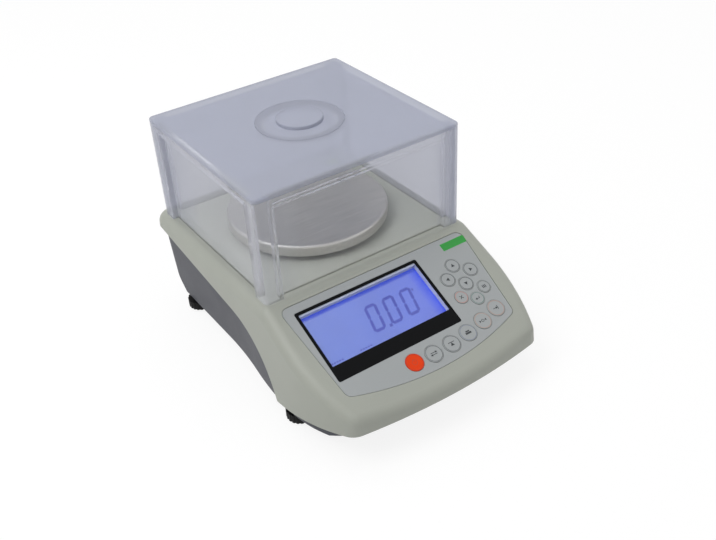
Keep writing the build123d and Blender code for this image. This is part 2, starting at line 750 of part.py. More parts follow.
def main_board():
    """Glass-fibre board on four standoffs."""
    left, right, front, rear = main_board_box()
    low = floor_top + STANDOFF_HEIGHT
    board = slab(left, right, front, rear, low, low + BOARD_THICKNESS)
    for x, y in standoff_places():
        board -= disc(SCREW_DIAMETER + 2 * SCREW_CLEARANCE, 0, PLATFORM_HEIGHT, x, y)
    return board


def board_part(place, y, width, length, height):
    """Component on the main board: its middle as a share of the board's width, and from its front."""
    left, right, front, rear = main_board_box()
    middle = left + place * (right - left)
    near = front + y - length / 2
    low = floor_top + STANDOFF_HEIGHT + BOARD_THICKNESS
    return slab(middle - width / 2, middle + width / 2, near, near + length, low, low + height)


def capacitors():
    """Two upright electrolytic capacitors."""
    left, right, front, rear = main_board_box()
    low = floor_top + STANDOFF_HEIGHT + BOARD_THICKNESS
    first = left + CAPACITOR_PLACE * (right - left)
    places = (first, first + CAPACITOR_PITCH)
    return [disc(CAPACITOR_DIAMETER, low, low + CAPACITOR_HEIGHT, x, front + CAPACITOR_Y) for x in places]


def board_screws():
    """Screws that hold the main board to its standoffs."""
    top = floor_top + STANDOFF_HEIGHT + BOARD_THICKNESS
    screws = []
    for x, y in standoff_places():
        head = disc(SCREW_HEAD_DIAMETER, top, top + BOARD_SCREW_HEAD, x, y)
        screws.append(head + disc(SCREW_DIAMETER - 2 * SHAFT_FIT, top - BOARD_SCREW_GRIP, top, x, y))
    return screws


def power_inlet():
    """Barrel socket on the main board, facing the rear."""
    (x, z), serial = connector_places()
    wall = rear_wall_y(z) - BASE_WALL - CONNECTOR_GAP
    body = Box(JACK_WIDTH, JACK_LENGTH, JACK_HEIGHT)
    jack = Pos(x, wall - JACK_LENGTH / 2, z) * body
    nose = Cylinder(JACK_BORE / 2, BASE_WALL)
    jack += Pos(x, wall + BASE_WALL / 2, z) * Rot(90, 0, 0) * nose
    jack -= Pos(x, wall - 2, z) * Rot(90, 0, 0) * Cylinder(JACK_BORE / 2 - 0.6, JACK_LENGTH)
    pin = Pos(x, wall - JACK_LENGTH / 2, z) * Rot(90, 0, 0) * Cylinder(JACK_PIN / 2, JACK_LENGTH - 1)
    return jack + pin


def serial_port():
    """Nine-way socket with a steel shell, facing the rear."""
    jack, (x, z) = connector_places()
    wall = rear_wall_y(z - SERIAL_HEIGHT / 2) - BASE_WALL - CONNECTOR_GAP
    flange = Pos(x, wall - SERIAL_FLANGE / 2, z) * Box(SERIAL_WIDTH, SERIAL_FLANGE, SERIAL_HEIGHT)
    body_y = wall - SERIAL_FLANGE - SERIAL_BODY_LENGTH / 2
    body = Pos(x, body_y, z) * Box(SERIAL_SHELL_WIDTH + 2, SERIAL_BODY_LENGTH, SERIAL_HEIGHT)
    half = SERIAL_SHELL_WIDTH / 2
    low = SERIAL_SHELL_HEIGHT / 2
    lean = SERIAL_SHELL_LEAN
    corners = ((-half + lean, -low), (half - lean, -low), (half, low), (-half, low))
    trapezium = fillet(make_face(Polyline(*corners, close=True)).vertices(), lean)
    shell = extrude(trapezium, amount=SERIAL_SHELL_LENGTH)
    shell = Pos(x, wall, z) * Rot(-90, 0, 0) * Rot(0, 0, 180) * shell
    return flange + body + shell


# Front board with the display and the domes under the keys
def front_board():
    """Board behind the panel, square to it."""
    half = front_board_width / 2
    left, right, top, bottom = bezel_box()
    board = panel_slab(-half, half, FRONT_BOARD_TOP, bottom + FRONT_BOARD_BOTTOM + ROW_SETBACK,
                       board_top - BOARD_THICKNESS, board_top)
    for x, u in front_board_bosses():
        board -= panel_disc(SCREW_DIAMETER + 2 * SCREW_CLEARANCE, x, u, board_top - 5, board_top + 1)
    return board


def front_board_screws():
    """Screws from below into the cover's bosses."""
    low = board_top - BOARD_THICKNESS
    screws = []
    for x, u in front_board_bosses():
        head = panel_disc(SCREW_HEAD_DIAMETER, x, u, low - 2, low)
        screws.append(head + panel_disc(SCREW_DIAMETER - 2 * SHAFT_FIT, x, u, low, board_top + 5))
    return screws


def display_frame():
    """White moulded tunnel that holds the display glass over the backlight."""
    left, right, top, bottom = tunnel_box()
    wall = TUNNEL_WALL
    block = panel_slab(left - wall, right + wall, top - wall, bottom + wall, board_top, overlay_floor - 0.1)
    block -= panel_slab(left, right, top, bottom, board_top - 1, 1)
    seat = GLASS_OVERLAP + GLASS_GAP
    block -= panel_slab(left - seat, right + seat, top - seat, bottom + seat, board_top - 1, glass_top)
    return block


def display_glass():
    """Liquid crystal glass."""
    left, right, top, bottom = tunnel_box()
    grow = GLASS_OVERLAP
    low = glass_top - GLASS_THICKNESS
    return panel_slab(left - grow, right + grow, top - grow, bottom + grow, low, glass_top)


def backlight():
    """Light guide under the display glass."""
    left, right, top, bottom = tunnel_box()
    grow = GLASS_OVERLAP
    high = board_top + BACKLIGHT_THICKNESS
    return panel_slab(left - grow, right + grow, top - grow, bottom + grow, board_top, high)


def display_bezel():
    """Black frame with a wide lower band."""
    left, right, top, bottom = bezel_box()
    frame = Rectangle(right - left, bottom - top)
    frame = fillet(frame.vertices(), BEZEL_RADIUS)
    frame = Pos((left + right) / 2, -(top + bottom) / 2) * frame
    solid = PANEL.location * Pos(0, 0, overlay_floor) * extrude(frame, amount=OVERLAY_THICKNESS + 0.1)
    x0, x1, u0, u1 = opening_box()
    return solid - panel_slab(x0, x1, u0, u1, overlay_floor - 1, 1)


def display_window():
    """Clear window inside the bezel."""
    x0, x1, u0, u1 = opening_box()
    gap = WINDOW_GAP
    return panel_slab(x0 + gap, x1 - gap, u0 + gap, u1 - gap, overlay_floor, -OVERLAY_SINK)


def keypad_overlay():
    """Thin sheet with openings for the bezel and the keys."""
    sheet = PANEL.location * Pos(0, 0, overlay_floor) * extrude(overlay_outline(), amount=OVERLAY_THICKNESS)
    left, right, top, bottom = bezel_box()
    gap = WINDOW_GAP
    hole = Rectangle(right - left + 2 * gap, bottom - top + 2 * gap)
    hole = fillet(hole.vertices(), BEZEL_RADIUS + gap)
    hole = extrude(Pos((left + right) / 2, -(top + bottom) / 2) * hole, amount=4, both=True)
    sheet -= PANEL.location * hole
    for name, x, u, diameter in key_layout():
        sheet -= panel_disc(diameter + 2 * KEY_GAP, x, u, overlay_floor - 1, 1)
    return sheet


def key(x, u, diameter):
    """Round cap with a soft edge, and the stem that reaches its snap dome."""
    top = -OVERLAY_SINK + KEY_RISE
    cap = Cylinder(diameter / 2, KEY_CAP)
    cap = fillet(cap.edges().group_by(Axis.Z)[-1], KEY_EDGE)
    cap = on_panel(x, u, top - KEY_CAP / 2) * cap
    stem_low = board_top + DOME_HEIGHT + KEY_TRAVEL + DOME_GAP
    return cap + panel_disc(STEM_DIAMETER, x, u, stem_low, top - KEY_CAP / 2)


def snap_domes():
    """Shallow metal domes on the front board, one under each key."""
    domes = []
    radius = DOME_DIAMETER / 2
    for name, x, u, diameter in key_layout():
        cap = Cylinder(radius, DOME_HEIGHT)
        cap = chamfer(cap.edges().group_by(Axis.Z)[-1], DOME_HEIGHT * 0.9, radius * 0.6)
        domes.append(on_panel(x, u, board_top + DOME_HEIGHT / 2) * cap)
    return domes


# Load cell and what it carries
def load_cell():
    """Aluminium bending beam with two linked bores."""
    front, rear = cell_ends()
    beam = slab(-CELL_WIDTH / 2, CELL_WIDTH / 2, front, rear, cell_low, cell_high)
    middle = (cell_low + cell_high) / 2
    for side in (-1, 1):
        bore = Rot(0, 90, 0) * Cylinder(CELL_BORE / 2, CELL_WIDTH + 2)
        beam -= Pos(0, shield_y + side * CELL_BORE_SPACING / 2, middle) * bore
    beam -= Pos(0, shield_y, middle) * Box(CELL_WIDTH + 2, CELL_BORE_SPACING, CELL_SLOT)
    for x, y in cell_screw_places("front"):
        beam -= disc(CELL_SCREW_DIAMETER + 2 * SHAFT_FIT, cell_high - CELL_SCREW_GRIP, cell_high + 1, x, y)
    for x, y in cell_screw_places("rear"):
        beam -= disc(CELL_SCREW_DIAMETER + 2 * SHAFT_FIT, cell_low - 1, cell_low + CELL_SCREW_GRIP, x, y)
    return beam


def mount_block():
    """Block that stands the fixed end of the load cell off the floor."""
    front, rear = cell_ends()
    block = slab(-CELL_WIDTH / 2, CELL_WIDTH / 2, rear - CELL_END_PAD, rear, block_low, cell_low)
    for x, y in cell_screw_places("rear"):
        block -= disc(CELL_SCREW_DIAMETER + 2 * SCREW_CLEARANCE, 0, PLATFORM_HEIGHT, x, y)
    return block


def bridge():
    """Plate from the free end of the load cell to the middle of the pan."""
    front, rear = cell_ends()
    end = shield_y + POST_FLANGE_DIAMETER / 2
    half = CELL_WIDTH / 2
    plate = slab(-half, half, front, end, bridge_low, bridge_high)
    plate += slab(-half, half, front, front + CELL_END_PAD, cell_high, bridge_low)
    for x, y in cell_screw_places("front"):
        plate -= disc(CELL_SCREW_DIAMETER + 2 * SCREW_CLEARANCE, 0, PLATFORM_HEIGHT, x, y)
    return plate


def cell_screw(x, y, head_face, direction):
    """Cap screw: head on one side of a face, shank through it."""
    head = disc(CELL_SCREW_DIAMETER * 1.7, 0, CELL_SCREW_DIAMETER)
    shank = disc(CELL_SCREW_DIAMETER, -MOUNT_BLOCK_HEIGHT - CELL_SCREW_GRIP + 2, 0)
    screw = head + shank
    if direction < 0:
        screw = Rot(180, 0, 0) * screw
    return Pos(x, y, head_face) * screw


def bridge_screws():
    """Screws that hold the bridge on the free end of the load cell."""
    return [cell_screw(x, y, bridge_high, 1) for x, y in cell_screw_places("front")]


def stop_screw():
    """Overload stop under the free end of the load cell."""
    front, rear = cell_ends()
    y = front + CELL_END_PAD / 2
    return disc(STOP_DIAMETER, floor_top, cell_low - STOP_GAP, 0, y)


def pan_post():
    """Turned post from the bridge, through the collar, to the hub."""
    post = disc(POST_FLANGE_DIAMETER, bridge_high, bridge_high + POST_FLANGE, 0, shield_y)
    return post + disc(POST_DIAMETER, bridge_high, hub_top - 2, 0, shield_y)


def pan_support():
    """Cast cross with a hub and four seats for the cushions."""
    low = arm_top - ARM_THICKNESS
    cross = disc(HUB_DIAMETER, hub_top - HUB_HEIGHT, hub_top)
    for angle in (45, 135):
        cross += Rot(0, 0, angle) * slab(-arm_reach, arm_reach, -ARM_WIDTH / 2, ARM_WIDTH / 2, low, arm_top)
    for angle in (45, 135, 225, 315):
        end = Rot(0, 0, angle) * Pos(arm_reach, 0, 0)
        cross += end * disc(ARM_WIDTH, low, arm_top)
        cross -= end * disc(CUSHION_DIAMETER + 2 * SHAFT_FIT, arm_top - CUSHION_SEAT, arm_top + 1)
    cross -= disc(POST_DIAMETER + 2 * SHAFT_FIT, 0, hub_top - 2)
    return Pos(0, shield_y, 0) * cross


def cushions():
    """Four rubber cushions on which the pan rests."""
    pads = []
    for angle in (45, 135, 225, 315):
        pad = disc(CUSHION_DIAMETER, arm_top - CUSHION_SEAT, cushion_top)
        pads.append(Pos(0, shield_y, 0) * Rot(0, 0, angle) * Pos(arm_reach, 0, 0) * pad)
    return pads


def weighing_pan():
    """Drawn steel dish, open side down, with a ring that drops over the hub."""
    radius = PAN_DIAMETER / 2
    outer = disc(PAN_DIAMETER, pan_top - PAN_RIM, pan_top)
    outer = fillet(outer.edges().group_by(Axis.Z)[-1], PAN_EDGE_RADIUS)
    inner = disc(PAN_DIAMETER - 2 * PAN_SHEET, pan_top - PAN_RIM - 1, pan_top - PAN_SHEET)
    inner = fillet(inner.edges().group_by(Axis.Z)[-1], PAN_EDGE_RADIUS - PAN_SHEET)
    ring_bore = HUB_DIAMETER + 2 * PAN_RING_CLEARANCE
    ring = disc(ring_bore + 2 * PAN_RING_WALL, arm_top + PAN_RING_GAP, cushion_top)
    ring -= disc(ring_bore, 0, pan_top)
    return Pos(0, shield_y, 0) * (outer - inner + ring)


# Draft shield and its lid
def shield_footprint(inset):
    """Rounded rectangle of the shield, drawn inwards by an inset."""
    face = Rectangle(shield_width - 2 * inset, shield_depth - 2 * inset)
    return fillet(face.vertices(), SHIELD_CORNER_RADIUS - inset)


def wall_bars(inset, post, low, high):
    """Four bars along the sides, between the corner posts."""
    bars = Part()
    for width, depth, turn in ((shield_width, shield_depth, 0), (shield_depth, shield_width, 90)):
        for side in (-1, 1):
            edge = side * depth / 2
            bar = slab(-width / 2 + post, width / 2 - post, edge - inset, edge + inset, low, high)
            bars += Rot(0, 0, turn) * bar
    return bars


def draft_shield():
    """Clear moulded box, open below, with corner posts, a top band and a lid seat."""
    top = PLATFORM_HEIGHT + SHIELD_HEIGHT
    body = extrude(Pos(0, 0, PLATFORM_HEIGHT) * shield_footprint(0), amount=SHIELD_HEIGHT)
    body = fillet(body.edges().group_by(Axis.Z)[-1], SHIELD_EDGE_RADIUS)
    body -= wall_bars(WALL_RECESS, POST_WIDTH, PLATFORM_HEIGHT - 1, top - BAND_HEIGHT)
    body -= wall_bars(BAND_STEP_DEPTH, POST_WIDTH, PLATFORM_HEIGHT - 1, top - BAND_STEP_HEIGHT)
    cavity = extrude(Pos(0, 0, PLATFORM_HEIGHT - 1) * shield_footprint(SHIELD_WALL),
                     amount=SHIELD_HEIGHT - SHIELD_ROOF + 1)
    cavity -= wall_bars(WALL_RECESS + SHIELD_WALL, POST_WIDTH - SHIELD_WALL, 0, 2 * top)
    body -= cavity
    body -= disc(LID_DIAMETER + 2 * LID_CLEARANCE, top - LID_FLANGE, top + 1)
    body -= disc(LID_PLUG_DIAMETER + 2 * LID_CLEARANCE, top - 2 * SHIELD_ROOF, top + 1)
    return Pos(0, shield_y, 0) * body


def shield_lid():
    """Round clear lid with a raised hollow grip."""
    top = PLATFORM_HEIGHT + SHIELD_HEIGHT
    lid = disc(LID_DIAMETER, top - LID_FLANGE, top)
    lid += disc(LID_PLUG_DIAMETER, top - LID_FLANGE - LID_PLUG_DEPTH, top)
    grip = disc(GRIP_DIAMETER, top - LID_FLANGE, top + GRIP_HEIGHT)
    lid += fillet(grip.edges().group_by(Axis.Z)[-1], GRIP_EDGE)
    lid -= disc(LID_PLUG_DIAMETER - 2 * SHIELD_WALL, 0, top - LID_FLANGE)
    lid -= disc(GRIP_DIAMETER - 2 * SHIELD_WALL, 0, top + GRIP_HEIGHT - SHIELD_WALL)
    return Pos(0, shield_y, 0) * lid


# Spirit level in the platform
def level_case():
    """Flanged cup that drops into the platform."""
    top = PLATFORM_HEIGHT + LEVEL_FLANGE
    cup = disc(LEVEL_FLANGE_DIAMETER, PLATFORM_HEIGHT, top)
    cup += disc(LEVEL_DIAMETER, PLATFORM_HEIGHT - LEVEL_DEPTH, top)
    cup -= disc(LEVEL_DIAMETER - 2 * LEVEL_CUP_WALL, PLATFORM_HEIGHT - LEVEL_DEPTH + LEVEL_CUP_WALL, top + 1)
    return Pos(level_x, level_y, 0) * cup


def level_vial():
    """Liquid capsule with a domed top."""
    low = PLATFORM_HEIGHT - LEVEL_DEPTH + LEVEL_CUP_WALL
    gap = LEVEL_GAP
    vial = disc(LEVEL_DIAMETER - 2 * LEVEL_CUP_WALL - gap, low, PLATFORM_HEIGHT + LEVEL_FLANGE - gap)
    return Pos(level_x, level_y, 0) * fillet(vial.edges().group_by(Axis.Z)[-1], 0.8)


# Feet and fasteners
def foot_insert(x, y):
    """Threaded brass bush in the foot boss."""
    ring = disc(INSERT_DIAMETER, floor_top, floor_top + INSERT_HEIGHT, x, y)
    return ring - disc(STUD_DIAMETER + 2 * SHAFT_FIT, 0, PLATFORM_HEIGHT, x, y)


def foot_wheel(x, y):
    """Scalloped wheel with its stud."""
    low = PAD_THICKNESS - PAD_RECESS
    wheel = disc(WHEEL_DIAMETER, low, low + WHEEL_HEIGHT)
    pitch = pi * WHEEL_DIAMETER / WHEEL_SCALLOPS
    for index in range(WHEEL_SCALLOPS):
        flute = disc(pitch * FLUTE_SHARE, 0, 3 * WHEEL_HEIGHT, WHEEL_DIAMETER / 2 + pitch * FLUTE_OFFSET)
        wheel -= Rot(0, 0, index * 360 / WHEEL_SCALLOPS) * flute
    wheel -= disc(PAD_DIAMETER + 2 * PAD_GAP, 0, PAD_THICKNESS)
    wheel += disc(STUD_DIAMETER, PAD_THICKNESS, low + WHEEL_HEIGHT + STUD_LENGTH)
    return Pos(x, y, 0) * wheel


def foot_pad(x, y):
    """Rubber pad in the underside of the wheel."""
    pad = disc(PAD_DIAMETER, 0, PAD_THICKNESS)
    return Pos(x, y, 0) * chamfer(pad.edges().group_by(Axis.Z)[0], PAD_RECESS)


def housing_screws():
    """Six screws from below that draw the shells together."""
    seat = SCREW_POST_TOP - SCREW_POST_WEB
    screws = []
    for x, y in screw_places():
        head = disc(SCREW_HEAD_DIAMETER, seat - SCREW_HEAD_HEIGHT, seat, x, y)
        screws.append(head + disc(SCREW_DIAMETER, seat, SCREW_POST_TOP + SCREW_BITE, x, y))
    return screws


def mount_screws():
    """Screws from below that hold the fixed end of the load cell."""
    seat = GROUND_CLEARANCE + CELL_SCREW_DIAMETER
    return [cell_screw(x, y, seat, -1) for x, y in cell_screw_places("rear")]


# Write one file for each node
os.makedirs("parts", exist_ok=True)

save("top_cover", top_cover())
save("bottom_housing", bottom_housing())
save("housing_screws", Compound(children=housing_screws()))

save("keypad_overlay", keypad_overlay())
save("display_bezel", display_bezel())
save("display_window", display_window())
save("display_frame", display_frame())
save("display_glass", display_glass())
save("backlight", backlight())
save("front_board", front_board())
save("front_board_screws", Compound(children=front_board_screws()))
save("snap_domes", Compound(children=snap_domes()))
for node, across, down, size in key_layout():
    save(node, key(across, down, size))

save("main_board", main_board())
save("main_board_screws", Compound(children=board_screws()))
save("processor", board_part(PROCESSOR_PLACE, PROCESSOR_Y, PROCESSOR_SIDE, PROCESSOR_SIDE, PROCESSOR_HEIGHT))
save("converter_can", board_part(CAN_PLACE, CAN_Y, CAN_WIDTH, CAN_LENGTH, CAN_HEIGHT))
regulator_size = (REGULATOR_WIDTH, REGULATOR_LENGTH, REGULATOR_HEIGHT)
save("regulator", board_part(REGULATOR_PLACE, REGULATOR_Y, *regulator_size))
save("capacitors", Compound(children=capacitors()))
save("power_inlet", power_inlet())
save("serial_port", serial_port())

save("mount_block", mount_block())
save("mount_screws", Compound(children=mount_screws()))
save("load_cell", load_cell())
save("overload_stop", stop_screw())
save("bridge", bridge())
save("bridge_screws", Compound(children=bridge_screws()))
save("pan_post", pan_post())
save("pan_support", pan_support())
save("pan_cushions", Compound(children=cushions()))
save("weighing_pan", weighing_pan())

save("draft_shield", draft_shield())
save("shield_lid", shield_lid())
save("level_case", level_case())
save("level_vial", level_vial())

save("foot_inserts", Compound(children=[foot_insert(x, y) for x, y in foot_places().values()]))
for corner, (x, y) in foot_places().items():
    save(f"{corner}_foot_wheel", foot_wheel(x, y))
    save(f"{corner}_foot_pad", foot_pad(x, y))
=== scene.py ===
from math import atan2, cos, pi, radians, sin

import bpy
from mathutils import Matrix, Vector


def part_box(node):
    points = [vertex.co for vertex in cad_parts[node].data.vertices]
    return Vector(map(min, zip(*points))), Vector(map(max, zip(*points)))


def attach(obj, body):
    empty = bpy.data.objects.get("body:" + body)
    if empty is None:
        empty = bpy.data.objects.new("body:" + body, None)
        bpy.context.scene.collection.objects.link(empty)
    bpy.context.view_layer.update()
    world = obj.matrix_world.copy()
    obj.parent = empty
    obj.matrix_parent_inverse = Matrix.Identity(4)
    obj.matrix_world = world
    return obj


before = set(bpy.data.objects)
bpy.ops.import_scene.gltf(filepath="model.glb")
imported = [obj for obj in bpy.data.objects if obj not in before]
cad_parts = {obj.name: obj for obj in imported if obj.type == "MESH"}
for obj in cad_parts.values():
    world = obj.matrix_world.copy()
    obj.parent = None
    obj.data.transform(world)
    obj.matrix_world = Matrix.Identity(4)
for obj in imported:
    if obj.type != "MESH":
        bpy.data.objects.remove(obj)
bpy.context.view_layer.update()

# Camera
# A studio camera on a tripod, above the front left corner of the scale.
bpy.ops.object.select_all(action="DESELECT")
bpy.ops.object.camera_add(
    location=(-0.32394, -0.51851, 0.48780),
    rotation=(radians(55.1133), radians(3.0529), radians(-34.7267)),
)
camera = bpy.context.object
camera.name = "studio_camera"
camera.data.lens = 46.86
camera.data.sensor_width = 36.0
camera.data.shift_x = 0.0099
camera.data.shift_y = -0.0092
bpy.context.scene.camera = camera


# Feet
# Four levelling feet: a scalloped black wheel moulded on a threaded steel stud, with a rubber pad
# pressed into its underside. The stud turns in a brass bush in the bottom housing.
def screen_colour(red, green, blue):
    """Turns a colour as a screen shows it, 0 to 255, into the light values a shader takes."""
    values = []
    for value in (red, green, blue):
        value = value / 255
        values.append(value / 12.92 if value <= 0.04045 else ((value + 0.055) / 1.055) ** 2.4)
    return (*values, 1.0)


def new_finish(name):
    """A new material with its shader, its node tree and object coordinates."""
    material = bpy.data.materials.new(name)
    material.use_nodes = True
    tree = material.node_tree
    shader = tree.nodes["Principled BSDF"]
    place = tree.nodes.new("ShaderNodeTexCoord")
    return material, tree, shader, place.outputs["Object"]


def mottle(tree, place, scale, detail=4.0, stretch=None):
    """Noise over the piece, stretched if asked, from 0 to 1."""
    noise = tree.nodes.new("ShaderNodeTexNoise")
    noise.inputs["Scale"].default_value = scale
    noise.inputs["Detail"].default_value = detail
    source = place
    if stretch:
        mapping = tree.nodes.new("ShaderNodeMapping")
        mapping.inputs["Scale"].default_value = stretch
        tree.links.new(place, mapping.inputs["Vector"])
        source = mapping.outputs["Vector"]
    tree.links.new(source, noise.inputs["Vector"])
    return noise.outputs["Fac"]


def two_tone(tree, fac, dark, light, low=0.35, high=0.65):
    """Colour that runs from dark to light as a value rises."""
    ramp = tree.nodes.new("ShaderNodeValToRGB")
    ramp.color_ramp.elements[0].position = low
    ramp.color_ramp.elements[0].color = dark
    ramp.color_ramp.elements[1].position = high
    ramp.color_ramp.elements[1].color = light
    tree.links.new(fac, ramp.inputs["Fac"])
    return ramp.outputs["Color"]


def between(tree, fac, low, high):
    """Value that runs from low to high as another runs from 0 to 1."""
    spread = tree.nodes.new("ShaderNodeMapRange")
    spread.inputs["To Min"].default_value = low
    spread.inputs["To Max"].default_value = high
    tree.links.new(fac, spread.inputs["Value"])
    return spread.outputs["Result"]


def relief(tree, shader, height, depth):
    """Bumps the surface by a height, its depth in metres."""
    bump = tree.nodes.new("ShaderNodeBump")
    bump.inputs["Strength"].default_value = 1.0
    bump.inputs["Distance"].default_value = depth
    tree.links.new(height, bump.inputs["Height"])
    tree.links.new(bump.outputs["Normal"], shader.inputs["Normal"])


def moulded_plastic(name, colour, rough, grain=2600.0, depth=0.00002, spread=0.04):
    """Moulded plastic: fine spark-eroded grain, faint tone drift and patchy sheen."""
    material, tree, shader, place = new_finish(name)
    dark = tuple(c * (1 - spread) for c in colour[:3]) + (1.0,)
    light = tuple(min(c * (1 + spread), 1.0) for c in colour[:3]) + (1.0,)
    tone = two_tone(tree, mottle(tree, place, 14.0), dark, light)
    tree.links.new(tone, shader.inputs["Base Color"])
    sheen = between(tree, mottle(tree, place, 60.0), rough - 0.05, rough + 0.05)
    tree.links.new(sheen, shader.inputs["Roughness"])
    relief(tree, shader, mottle(tree, place, grain, 2.0), depth)
    return material


def machined_metal(name, colour, rough, lines, depth=0.00001):
    """Metal with fine parallel tool lines, stretched along one axis."""
    material, tree, shader, place = new_finish(name)
    shader.inputs["Metallic"].default_value = 1.0
    fine = mottle(tree, place, 900.0, 3.0, lines)
    dark = tuple(c * 0.86 for c in colour[:3]) + (1.0,)
    tree.links.new(two_tone(tree, fine, dark, colour), shader.inputs["Base Color"])
    tree.links.new(between(tree, fine, rough - 0.07, rough + 0.07), shader.inputs["Roughness"])
    relief(tree, shader, fine, depth)
    return material


def dress(material, *nodes):
    """Gives CAD nodes a material."""
    for node in nodes:
        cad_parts[node].data.materials.clear()
        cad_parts[node].data.materials.append(material)


FOOT_CORNERS = ("rear_left", "rear_right", "front_left", "front_right")
WHEEL_TOP = 0.0093
THREAD_DEPTH = 0.0004

black_rubber = moulded_plastic("black_rubber", screen_colour(26, 26, 27), 0.75, 1400.0, 0.00004)


def foot_plastic():
    """Black plastic wheel below, zinc-plated thread above."""
    material, tree, shader, place = new_finish("foot_wheel_finish")
    split = tree.nodes.new("ShaderNodeSeparateXYZ")
    tree.links.new(place, split.inputs["Vector"])
    above = tree.nodes.new("ShaderNodeMath")
    above.operation = "GREATER_THAN"
    above.inputs[1].default_value = WHEEL_TOP
    tree.links.new(split.outputs["Z"], above.inputs[0])
    tint = tree.nodes.new("ShaderNodeMix")
    tint.data_type = "RGBA"
    tree.links.new(above.outputs["Value"], tint.inputs["Factor"])
    tint.inputs["A"].default_value = screen_colour(12, 12, 13)
    tint.inputs["B"].default_value = screen_colour(176, 178, 180)
    tree.links.new(tint.outputs["Result"], shader.inputs["Base Color"])
    tree.links.new(above.outputs["Value"], shader.inputs["Metallic"])
    thread = tree.nodes.new("ShaderNodeTexWave")
    thread.wave_type = "BANDS"
    thread.bands_direction = "Z"
    thread.inputs["Scale"].default_value = 250.0
    tree.links.new(place, thread.inputs["Vector"])
    cut = tree.nodes.new("ShaderNodeMath")
    cut.operation = "MULTIPLY"
    tree.links.new(thread.outputs["Fac"], cut.inputs[0])
    tree.links.new(above.outputs["Value"], cut.inputs[1])
    relief(tree, shader, cut.outputs["Value"], THREAD_DEPTH)
    shader.inputs["Specular IOR Level"].default_value = 0.15
    tree.links.new(between(tree, mottle(tree, place, 90.0), 0.38, 0.52), shader.inputs["Roughness"])
    return material


dress(black_rubber, *[f"{corner}_foot_pad" for corner in FOOT_CORNERS])
dress(foot_plastic(), *[f"{corner}_foot_wheel" for corner in FOOT_CORNERS])
dress(machined_metal("turned_brass", screen_colour(196, 160, 92), 0.34, (1, 1, 6)), "foot_inserts")

# Bottom housing
# One injection moulding in dark blue-grey ABS with a spark-eroded texture. It holds the load cell, the
# main board and the feet, and steel screws from below draw it up to the top cover.
base_plastic = moulded_plastic("base_plastic", screen_colour(60, 62, 71), 0.52, 1900.0, 0.00005, 0.07)
zinc_steel = machined_metal("zinc_plated_steel", screen_colour(188, 190, 192), 0.30, (1, 1, 1))
dress(base_plastic, "bottom_housing")
dress(zinc_steel, "housing_screws", "mount_screws", "bridge_screws", "overload_stop",
      "main_board_screws", "front_board_screws")

# Load cell
# A bending beam milled from an aluminium bar, its two bores joined by a slot. One end is screwed to a
# block on the floor of the housing; a plate on the other end comes back to the middle and carries the
# pan.
beam_aluminium = machined_metal("beam_aluminium", screen_colour(202, 204, 207), 0.32, (60, 1, 60))
plate_aluminium = machined_metal("plate_aluminium", screen_colour(190, 193, 196), 0.36, (1, 40, 1))
dress(beam_aluminium, "load_cell")
dress(plate_aluminium, "mount_block", "bridge")

# Main board
# A green glass-fibre board on four posts beside the load cell. It carries a processor, a tinned can
# over the converter, a regulator, capacitors, the power inlet and the serial port.
def circuit_board():
    """Solder-masked board: glass weave under the mask, and tracks as paler lines."""
    material, tree, shader, place = new_finish("circuit_board")
    weave = tree.nodes.new("ShaderNodeTexChecker")
    weave.inputs["Scale"].default_value = 1400.0
    tree.links.new(place, weave.inputs["Vector"])
    tracks = tree.nodes.new("ShaderNodeTexBrick")
    tracks.inputs["Scale"].default_value = 90.0
    tracks.inputs["Mortar Size"].default_value = 0.05
    tracks.inputs["Color1"].default_value = screen_colour(18, 84, 44)
    tracks.inputs["Color2"].default_value = screen_colour(22, 96, 50)
    tracks.inputs["Mortar"].default_value = screen_colour(44, 128, 72)
    tree.links.new(place, tracks.inputs["Vector"])
    tree.links.new(tracks.outputs["Color"], shader.inputs["Base Color"])
    tree.links.new(between(tree, mottle(tree, place, 200.0), 0.28, 0.40), shader.inputs["Roughness"])
    relief(tree, shader, weave.outputs["Fac"], 0.000008)
    return material


dress(circuit_board(), "main_board", "front_board")
chip_resin = moulded_plastic("chip_resin", screen_colour(34, 34, 36), 0.6, 5000.0, 0.00001)
dress(chip_resin, "processor", "regulator")
tinned_sheet = machined_metal("tinned_sheet", screen_colour(196, 198, 200), 0.28, (3, 1, 1))
dress(tinned_sheet, "converter_can")
sleeve = moulded_plastic("capacitor_sleeve", screen_colour(22, 28, 66), 0.30, 700.0, 0.000005)
dress(sleeve, "capacitors")
dress(moulded_plastic("connector_resin", screen_colour(28, 28, 30), 0.42), "power_inlet")
nickel_shell = machined_metal("nickel_shell", screen_colour(186, 188, 188), 0.26, (1, 1, 4))
dress(nickel_shell, "serial_port")

# Top cover
# One thin ivory-grey ABS moulding with a flat platform, a sloped panel and a rounded nose, with the
# finest texture of the set. It sits over the tongue of the bottom housing with an open shadow line.
cover_ivory = screen_colour(164, 167, 158)
cover_plastic = moulded_plastic("cover_plastic", cover_ivory, 0.46, 2400.0, 0.000025, 0.015)
dress(cover_plastic, "top_cover")

# Display
# A blue transmissive glass over a light guide, held on the front board by a pale moulded frame. A
# black printed bezel with a wide lower band and a clear window close it, flush with the overlay.
PANEL_SLOPE = radians(24.3)
PANEL_TOP_Y = -0.03735
PANEL_TOP_Z = 0.084
GLASS_LEFT = -73
GLASS_RIGHT = 33
GLASS_HEAD = 17.0
GLASS_FOOT = 64.0
HEAD_SHADE = 0.03


